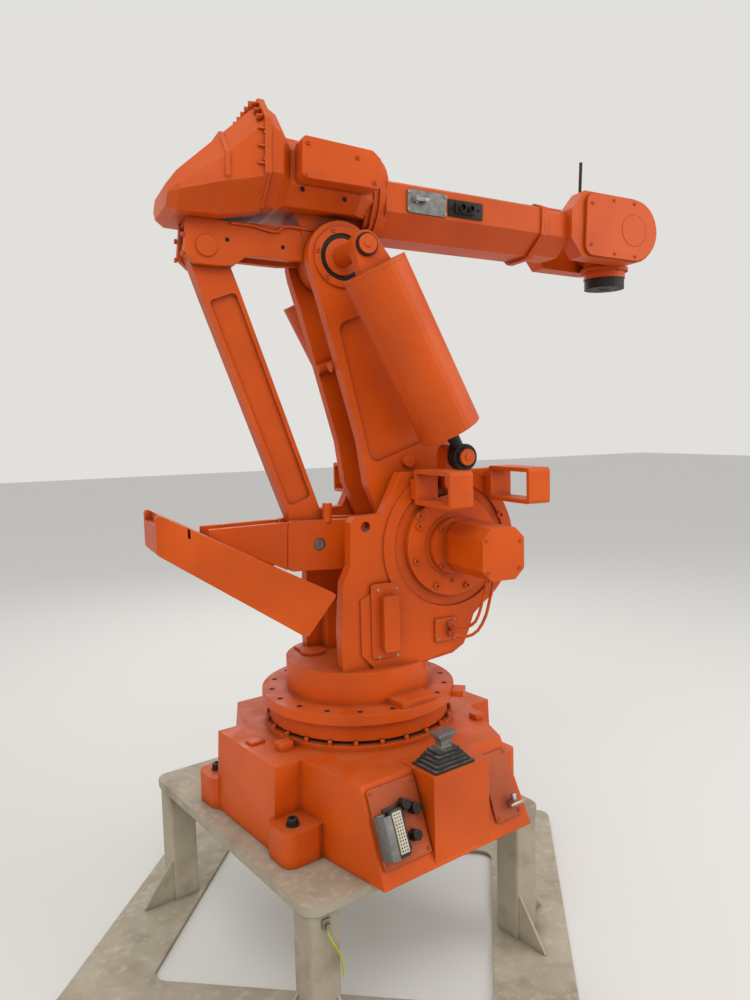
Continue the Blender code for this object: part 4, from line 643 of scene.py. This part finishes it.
def buildConnectorFace():
    faceFrame = slopeFrame @ Matrix.Translation(connectorFace["rise"])
    bm = bmesh.new()
    for xs, zs, head in connectorFace["screws"]:
        addScrews(bm, faceFrame, gridPlaces(xs, 0, zs), out, *head)
    newPiece("panelScrews", bm, extraFinishes["oldEnamel"], "base")
    bm = bmesh.new()
    for place in connectorFace["sockets"]:
        addRing(bm, aim(faceFrame, place, out), *connectorFace["socketRing"])
        addDrum(bm, aim(faceFrame, place, out), *connectorFace["socketNut"])
    newPiece("roundSockets", bm, dark, "base")
    # The air tap: a hexagon foot, its body and the handle
    bm = bmesh.new()
    for drum in connectorFace["tapDrums"]:
        addDrum(bm, aim(faceFrame, connectorFace["tap"], out), *drum)
    addBoxes(bm, faceFrame, connectorFace["tapBoxes"])
    newPiece("panelFittings", bm, plated, "base")
    # The rectangular connector: housing with an ivory insert of contacts, its lid hanging open on the left
    bm = bmesh.new()
    addBoxes(bm, faceFrame, connector["housing"])
    housing = newPiece("connectorHousing", bm, extraFinishes["blackPlastic"], "base")
    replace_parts(housing, "heavy_connector")
    bm = bmesh.new()
    addBoxes(bm, faceFrame, connector["insert"])
    newPiece("connectorInsert", bm, extraFinishes["insert"], "base")
    bm = bmesh.new()
    # Each contact's hole is a dark disc of painted shade
    for k in range(connector["contactRows"]):
        for x in connector["contactXs"]:
            place = (x, connector["contactY"], connector["contactFirst"] + k * connector["contactStep"])
            addDrum(bm, aim(faceFrame, place, out), *connector["contactDrum"])
    newPiece("connectorContacts", bm, hole, "base")
    bm = bmesh.new()
    addBoxes(bm, faceFrame, connector["lid"])
    newPiece("connectorLid", bm, grey, "base")


# A rubber plate, a folded square boot and the grey plug that it holds
def buildCableEntry():
    entryFrame = tableFrame @ Matrix.Translation(cableEntry["centre"])
    bm = bmesh.new()
    addBoxes(bm, entryFrame, cableEntry["plate"])
    for k in range(cableEntry["folds"]):
        wide = cableEntry["halfWide"] - cableEntry["wideStep"] * k
        deep = cableEntry["halfDeep"] - cableEntry["deepStep"] * k
        foot = cableEntry["foldFoot"] + k * cableEntry["foldHigh"] * cableEntry["foldStepShare"]
        addBox(bm, entryFrame, (-wide, -deep, foot), (wide, deep, foot + cableEntry["foldHigh"]),
               cableEntry["foldRounding"])
    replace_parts(newPiece("foldedBoot", bm, rubber, "base"), "gaiter")
    bm = bmesh.new()
    plug = cableEntry["plug"]
    for (low, wide, deep), (high, widest, deepest) in zip(plug, plug[1:]):
        made = bmesh.ops.create_cube(bm, size=1)
        for vert in made["verts"]:
            below = vert.co.z < 0
            x, y = (wide, deep) if below else (widest, deepest)
            z = low - cableEntry["plugSink"] if below else high
            vert.co = entryFrame @ Vector((math.copysign(x, vert.co.x), math.copysign(y, vert.co.y), z))
    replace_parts(newPiece("cablePlug", bm, grey, "base"), "gaiter_head")


def buildBase():
    sizes = basePieces["footBolts"]
    bm = bmesh.new()
    places = [(x, y, sizes["z"]) for x in (-sizes["x"], sizes["x"]) for y in (-sizes["y"], sizes["y"])]
    addScrews(bm, tableFrame, places, up, *sizes["head"])
    newPiece("footBolts", bm, dark, "base")
    sizes = basePieces["ringBolts"]
    bm = bmesh.new()
    angles = [math.tau * (k + 0.5) / sizes["count"] for k in range(sizes["count"])]
    addScrews(bm, tableFrame, levelPlaces(sizes["circle"], sizes["z"], angles), up, *sizes["head"])
    newPiece("ringBolts", bm, orange, "base")
    # Pads and a limit-switch bracket on the top of the base
    bm = bmesh.new()
    addBoxes(bm, tableFrame, basePieces["pads"])
    newPiece("basePads", bm, orange, "base")
    buildConnectorFace()
    buildCableEntry()


buildBase()
print("stage: base")

columnPieces = {
    "holes": {"circle": 0.318, "z": 0.409, "first": 127.5, "step": 20, "count": 18, "missing": 8, "radius": 0.010},
    "gearbox": {"circle": 0.157, "y": 0.232, "first": 151, "step": 46, "count": 7, "head": (0.0115, 0.010, 24)},
    "motorFoot": {"half": 0.066, "y": 0.262, "head": (0.008, 0.009)},
    "motorEnd": {"places": ((-0.035, 0.05), (-0.03, -0.056), (0.095, 0.04), (0.09, -0.05)), "y": 0.500,
                 "head": (0.0055, 0.005)},
    "cheekScrew": {"places": ((-0.005, -0.232, -0.129),), "head": (0.006, 0.006)},
    "cheekPlugs": {"places": ((-0.134, -0.232, 0.112), (0.195, -0.232, 0.094)), "head": (0.013, 0.010, 24, 0.55)},
    "sideBox": {"xs": (-0.306, -0.237), "y": -0.2500, "zs": (-0.126, -0.358), "head": (0.0045, 0.003)},
    "glandPlate": {"xs": (-0.063, 0.003), "y": -0.2213, "zs": (-0.336, -0.271), "head": (0.0045, 0.004)},
    "glands": {"places": ((-0.014, -0.2215, -0.318), (-0.014, -0.2215, -0.287)), "drum": (0.0145, 0.007, 6)},
}
# The bearings at a balancing spring's foot and head: an orange disc with a hexagon head, over a black ring
springBearings = {
    "y": 0.3300,
    "ringY": 0.3220,
    "sink": 0.001,
    "foot": {"ring": (0.036, 0.0075, 6), "disc": (0.028, 0.009, 32), "head": (0.011, 0.005, 6, 0), "headY": 0.007},
    "head": {"ring": (0.036, 0.0085, 36), "disc": (0.030, 0.008, 32), "head": (0.012, 0.005, 6, 0), "headY": 0.006},
}


def addSpringBearing(rings, discs, placeFrame, side, sizes):
    addDrum(rings, aim(placeFrame, (0, side * springBearings["ringY"], 0), (0, side, 0)), *sizes["ring"])
    place = aim(placeFrame, (0, side * springBearings["y"], 0), (0, side, 0))
    addDrum(discs, place @ Matrix.Translation((0, 0, -springBearings["sink"])), *sizes["disc"])
    addScrew(discs, place @ Matrix.Translation((0, 0, sizes["headY"])), *sizes["head"])


def buildColumn():
    holes, screws, discs, rings = bmesh.new(), bmesh.new(), bmesh.new(), bmesh.new()
    sizes = columnPieces["holes"]
    angles = [math.radians(sizes["first"] + sizes["step"] * k) for k in range(sizes["count"])
              if k != sizes["missing"]]
    addHoles(holes, turntableFrame, levelPlaces(sizes["circle"], sizes["z"], angles), up, sizes["radius"])
    gearbox, foot, end = (columnPieces[key] for key in ("gearbox", "motorFoot", "motorEnd"))
    halves = (-foot["half"], foot["half"])
    for side in (-1, 1):
        facing = (0, side, 0)
        places = circlePlaces(gearbox["count"], gearbox["circle"], gearbox["first"], side * gearbox["y"],
                              gearbox["step"])
        addScrews(screws, shoulderFrame, places, facing, *gearbox["head"])
        addScrews(screws, shoulderFrame, gridPlaces(halves, side * foot["y"], halves), facing, *foot["head"])
        addScrews(screws, shoulderFrame, [(x, side * end["y"], z) for x, z in end["places"]], facing, *end["head"])
        addSpringBearing(rings, discs, shoulderFrame @ Matrix.Translation((0, 0, layout["springFootRise"])), side,
                         springBearings["foot"])
    for key in ("cheekScrew", "cheekPlugs"):
        addScrews(screws, shoulderFrame, columnPieces[key]["places"], out, *columnPieces[key]["head"])
    newPiece("turntableHoles", holes, hole, "column")
    newPiece("columnScrews", screws, orange, "column")
    newPiece("springFootDiscs", discs, orange, "column")
    newPiece("springFootRings", rings, dark, "column")
    # The cover screws of the side box and the gland plate, and the nuts of its cable glands
    fittings = bmesh.new()
    for key in ("sideBox", "glandPlate"):
        sizes = columnPieces[key]
        addScrews(fittings, shoulderFrame, gridPlaces(sizes["xs"], sizes["y"], sizes["zs"]), out, *sizes["head"])
    for place in columnPieces["glands"]["places"]:
        addDrum(fittings, aim(shoulderFrame, place, out), *columnPieces["glands"]["drum"])
    newPiece("columnFittings", fittings, plated, "column")


lowerArmPieces = {
    "seal": {"y": 0.1218, "drum": (0.0765, 0.0010, 48)},
    "disc": {"y": 0.1220, "drum": (0.061, 0.006, 48), "edge": (0.002, 0.001)},
    "screws": {"count": 6, "circle": 0.089, "first": 30, "y": 0.130, "head": (0.007, 0.006)},
    "plug": {"places": ((-0.015, -0.1470, 0.322),), "radius": 0.009},
}


def buildLowerArm():
    seals, discs, screws = bmesh.new(), bmesh.new(), bmesh.new()
    head = armFrame @ Matrix.Translation((0, 0, layout["armLong"]))
    seal, disc, ring = (lowerArmPieces[key] for key in ("seal", "disc", "screws"))
    for side in (-1, 1):
        facing = (0, side, 0)
        addDrum(seals, aim(head, (0, side * seal["y"], 0), facing), *seal["drum"])
        inset(discs, addDrum(discs, aim(head, (0, side * disc["y"], 0), facing), *disc["drum"]), *disc["edge"])
        addSpringBearing(seals, discs, head, side, springBearings["head"])
        places = circlePlaces(ring["count"], ring["circle"], ring["first"], side * ring["y"])
        addScrews(screws, head, places, facing, *ring["head"])
    addHoles(screws, armFrame, lowerArmPieces["plug"]["places"], out, lowerArmPieces["plug"]["radius"])
    newPiece("elbowSeals", seals, dark, "lower_arm")
    newPiece("springHeadDiscs", discs, orange, "lower_arm")
    newPiece("lowerArmScrews", screws, orange, "lower_arm")


linkPieces = {
    "crankPin": {"x": -0.443, "y": 0.0602, "head": (0.021, 0.006, 28, 0.3)},
    "earBolts": {"x": -0.5135, "y": 0.054, "z": 0.03, "head": (0.0085, 0.008, 6, 0)},
}


def buildLinks():
    discs, bolts = bmesh.new(), bmesh.new()
    pin, ear = linkPieces["crankPin"], linkPieces["earBolts"]
    for side in (-1, 1):
        addScrews(discs, crankFrame, [(pin["x"], side * pin["y"], 0)], (0, side, 0), *pin["head"])
    newPiece("crankPinDiscs", discs, grey, "crank")
    places = [(ear["x"], y, z) for y in (-ear["y"], ear["y"]) for z in (-ear["z"], ear["z"])]
    addScrews(bolts, elbowFrame, places, back, *ear["head"])
    newPiece("earBolts", bolts, orange, "upper_arm")


# The seam between the upper arm's housing and its rear cover is eight-sided, with ribs and bolts along it
seam = {
    "corner": 0.085,
    "ribs": {"half": 0.221, "low": 0.119, "high": 0.444, "spacing": 0.046, "x": -0.309},
    "ribBox": ((-0.012, -0.0035, -0.0055), (0.010, 0.0035, 0.014), 0.0012),
    "bolts": {"half": 0.2245, "low": 0.1135, "high": 0.4475, "spacing": 0.092, "x": -0.2995},
    "head": (0.0050, 0.004, 6, 0),
}
upperArmPieces = {
    "motorCover": {"places": ((-0.005, -0.258, 0.281), (-0.178, -0.258, 0.202), (-0.172, -0.258, 0.300),
                              (0.055, -0.258, 0.212)), "head": (0.0065, 0.006)},
    "housingHoles": {"places": ((-0.165, -0.190, 0.18), (-0.02, -0.190, 0.168)), "radius": 0.008},
    "beamHoles": {"places": ((-0.376, -0.068, 0.026), (-0.189, -0.068, 0.023)), "radius": 0.007},
    "hoseRadius": 0.005,
    "beamHose": ((-0.365, -0.0735, 0.080), (-0.295, -0.0735, 0.079), (-0.217, -0.0735, 0.069),
                 (-0.180, -0.0735, 0.090), (-0.094, -0.0735, 0.089), (-0.017, -0.0735, 0.083)),
    "loop": {"x": 0.105, "circle": 0.151, "z": 0.225, "angles": range(110, 231, 15)},
    "drumHoseEnd": ((0.060, -0.086, 0.100), (0.020, -0.078, 0.086)),
}


# Points along the seam, each with the way that the seam runs there
def seamPlaces(sizes):
    half, low, high, corner = sizes["half"], sizes["low"], sizes["high"], seam["corner"]
    corners = [(-half, low + corner), (-half + corner, low), (half - corner, low), (half, low + corner),
               (half, high - corner), (half - corner, high), (-half + corner, high), (-half, high - corner)]
    made = []
    for first, second in zip(corners, corners[1:] + corners[:1]):
        edge = Vector(second) - Vector(first)
        count = max(1, round(edge.length / sizes["spacing"]))
        for k in range(count):
            made.append((Vector(first) + edge * (k + 0.5) / count, edge.normalized()))
    return made


def buildUpperArm():
    ribs, bolts = bmesh.new(), bmesh.new()
    for place, along in seamPlaces(seam["ribs"]):
        turn = Matrix.Rotation(math.atan2(along.y, along.x), 4, "X")
        spot = elbowFrame @ Matrix.Translation((seam["ribs"]["x"], place.x, place.y)) @ turn
        addBox(ribs, spot, *seam["ribBox"])
    places = [(seam["bolts"]["x"], place.x, place.y) for place, along in seamPlaces(seam["bolts"])]
    addScrews(bolts, elbowFrame, places, back, *seam["head"])
    newPiece("seamRibs", ribs, orange, "upper_arm")
    newPiece("seamBolts", bolts, orange, "upper_arm")
    screws, holes = bmesh.new(), bmesh.new()
    cover = upperArmPieces["motorCover"]
    addScrews(screws, elbowFrame, cover["places"], out, *cover["head"])
    for key in ("housingHoles", "beamHoles"):
        addHoles(holes, elbowFrame, upperArmPieces[key]["places"], out, upperArmPieces[key]["radius"])
    newPiece("motorCoverScrews", screws, orange, "upper_arm")
    newPiece("housingHoles", holes, hole, "upper_arm")
    hose("beamHose", elbowFrame, upperArmPieces["beamHose"], upperArmPieces["hoseRadius"], orange, "upper_arm")
    # A hose round the back of the bearing end, which then runs down to the beam
    loop = upperArmPieces["loop"]
    angles = [math.radians(angle) for angle in loop["angles"]]
    route = [(loop["x"], loop["circle"] * math.cos(a), loop["z"] + loop["circle"] * math.sin(a)) for a in angles]
    hose("drumHose", elbowFrame, [*route, *upperArmPieces["drumHoseEnd"]], upperArmPieces["hoseRadius"], orange,
         "upper_arm")


forearmPieces = {
    "access": {"xs": (0.232, 0.375), "y": -0.1563, "zs": (0.014, -0.044), "head": (0.005, 0.004)},
    "valve": (0.259, -0.1563, -0.010),
    "valveDrums": ((0.013, 0.008, 6), (0.008, 0.018, 20)),
    "valveArms": (((0.250, -0.1700, -0.010), (0.0075, 0.050, 20)), ((0.285, -0.1700, -0.010), (0.0100, 0.012, 6))),
    "toolPlate": (((0.389, -0.1563, -0.046), (0.530, -0.1508, 0.012), 0.002),
                  ((0.411, -0.1703, -0.036), (0.494, -0.1553, 0.002), 0.004)),
    # Outer, inner, height and sides
    "toolRings": (((0.434, -0.1703, -0.018), (0.015, 0.011, 0.012, 28)),
                  ((0.470, -0.1703, -0.018), (0.012, 0.009, 0.012, 28))),
    "toolScrews": {"places": ((0.400, -0.1563, -0.018), (0.511, -0.1563, -0.014)), "head": (0.005, 0.004)},
    "collar": {"x": 0.812, "wide": 0.141, "high": 0.052, "z": -0.03, "angles": (-150, -120, -60, -30, 20, 160),
               "head": (0.008, 0.007, 6, 0)},
    "wrist": {"places": ((1.010, 0.077), (1.115, 0.100), (1.217, 0.100), (1.010, -0.077), (1.126, -0.100),
                         (1.229, -0.100)), "y": 0.173, "head": (0.006, 0.005)},
    "wristRing": {"x": 1.220, "y": 0.173, "ring": (0.062, 0.059, 0.0016, 56)},
}


def buildForearm():
    bm = bmesh.new()
    access = forearmPieces["access"]
    addScrews(bm, forearmFrame, gridPlaces(access["xs"], access["y"], access["zs"]), out, *access["head"])
    for drum in forearmPieces["valveDrums"]:
        addDrum(bm, aim(forearmFrame, forearmPieces["valve"], out), *drum)
    for place, drum in forearmPieces["valveArms"]:
        addDrum(bm, aim(forearmFrame, place, ahead), *drum)
    newPiece("accessFittings", bm, plated, "forearm")
    bm = bmesh.new()
    addBoxes(bm, forearmFrame, forearmPieces["toolPlate"])
    for place, ring in forearmPieces["toolRings"]:
        addRing(bm, aim(forearmFrame, place, out), *ring)
    tool = forearmPieces["toolScrews"]
    addScrews(bm, forearmFrame, tool["places"], out, *tool["head"])
    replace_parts(newPiece("toolConnectors", bm, dark, "forearm"), "connector_plate")
    bm = bmesh.new()
    collar, wrist, ring = (forearmPieces[key] for key in ("collar", "wrist", "wristRing"))
    for angle in collar["angles"]:
        turn = math.radians(angle)
        place = (collar["x"], collar["wide"] * math.cos(turn), collar["high"] * math.sin(turn) + collar["z"])
        addScrews(bm, forearmFrame, [place], ahead, *collar["head"])
    for side in (-1, 1):
        facing = (0, side, 0)
        addScrews(bm, forearmFrame, [(x, side * wrist["y"], z) for x, z in wrist["places"]], facing, *wrist["head"])
        addRing(bm, aim(forearmFrame, (ring["x"], side * ring["y"], 0), facing), *ring["ring"])
    newPiece("wristScrews", bm, orange, "forearm")


wristPieces = {
    "rimZ": -0.132,
    "rim": (0.095, 0.014, 56),
    "rimScrews": {"count": 8, "circle": 0.0885, "head": (0.004, 0.004, 12)},
    "flangeZ": -0.2,
    "flangeHoles": {"count": 6, "circle": 0.0625, "radius": 0.005},
    "bore": (0.025, 0.0004, 40),
}


def buildWrist():
    bm = bmesh.new()
    addDrum(bm, aim(tiltFrame, (0, 0, wristPieces["rimZ"]), up), *wristPieces["rim"])
    sizes = wristPieces["rimScrews"]
    angles = [math.tau * k / sizes["count"] for k in range(sizes["count"])]
    addScrews(bm, tiltFrame, levelPlaces(sizes["circle"], wristPieces["rimZ"], angles), down, *sizes["head"])
    newPiece("tiltRim", bm, orange, "tilt")
    bm = bmesh.new()
    # The flange's holes and its bore are dark discs of painted shade
    sizes = wristPieces["flangeHoles"]
    angles = [math.tau * k / sizes["count"] for k in range(sizes["count"])]
    addHoles(bm, tiltFrame, levelPlaces(sizes["circle"], wristPieces["flangeZ"], angles), down, sizes["radius"])
    addDrum(bm, aim(tiltFrame, (0, 0, wristPieces["flangeZ"]), down), *wristPieces["bore"])
    newPiece("flangeHoles", bm, hole, "flange")


buildColumn()
buildLowerArm()
buildLinks()
buildUpperArm()
buildForearm()
buildWrist()
print("stage: arm")

# The earth wire hangs from its lug at the table's corner and ends bare. The route's steps are from its start
wireValues = {
    "start": (-0.5035, -0.5135, 0.48),
    "route": ((0.002, -0.0100, -0.0803), (0.002, -0.0100, -0.094), (0.017, -0.017, -0.130), (0.036, -0.018, -0.168),
              (0.045, -0.016, -0.205), (0.050, -0.013, -0.240)),
    "radius": 0.003,
    "steps": 4,
}
wireStart = Vector(wireValues["start"])
wireRoute = [standFrame @ (wireStart + Vector(step)) for step in wireValues["route"]]
wirePoints = flowing(wireRoute, wireValues["steps"])
earthWire = newCurve("earthWire", wirePoints, wireValues["radius"], finishes["earth_wire_sheath"])
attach(earthWire, "base")
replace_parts(earthWire, "earth_wire")
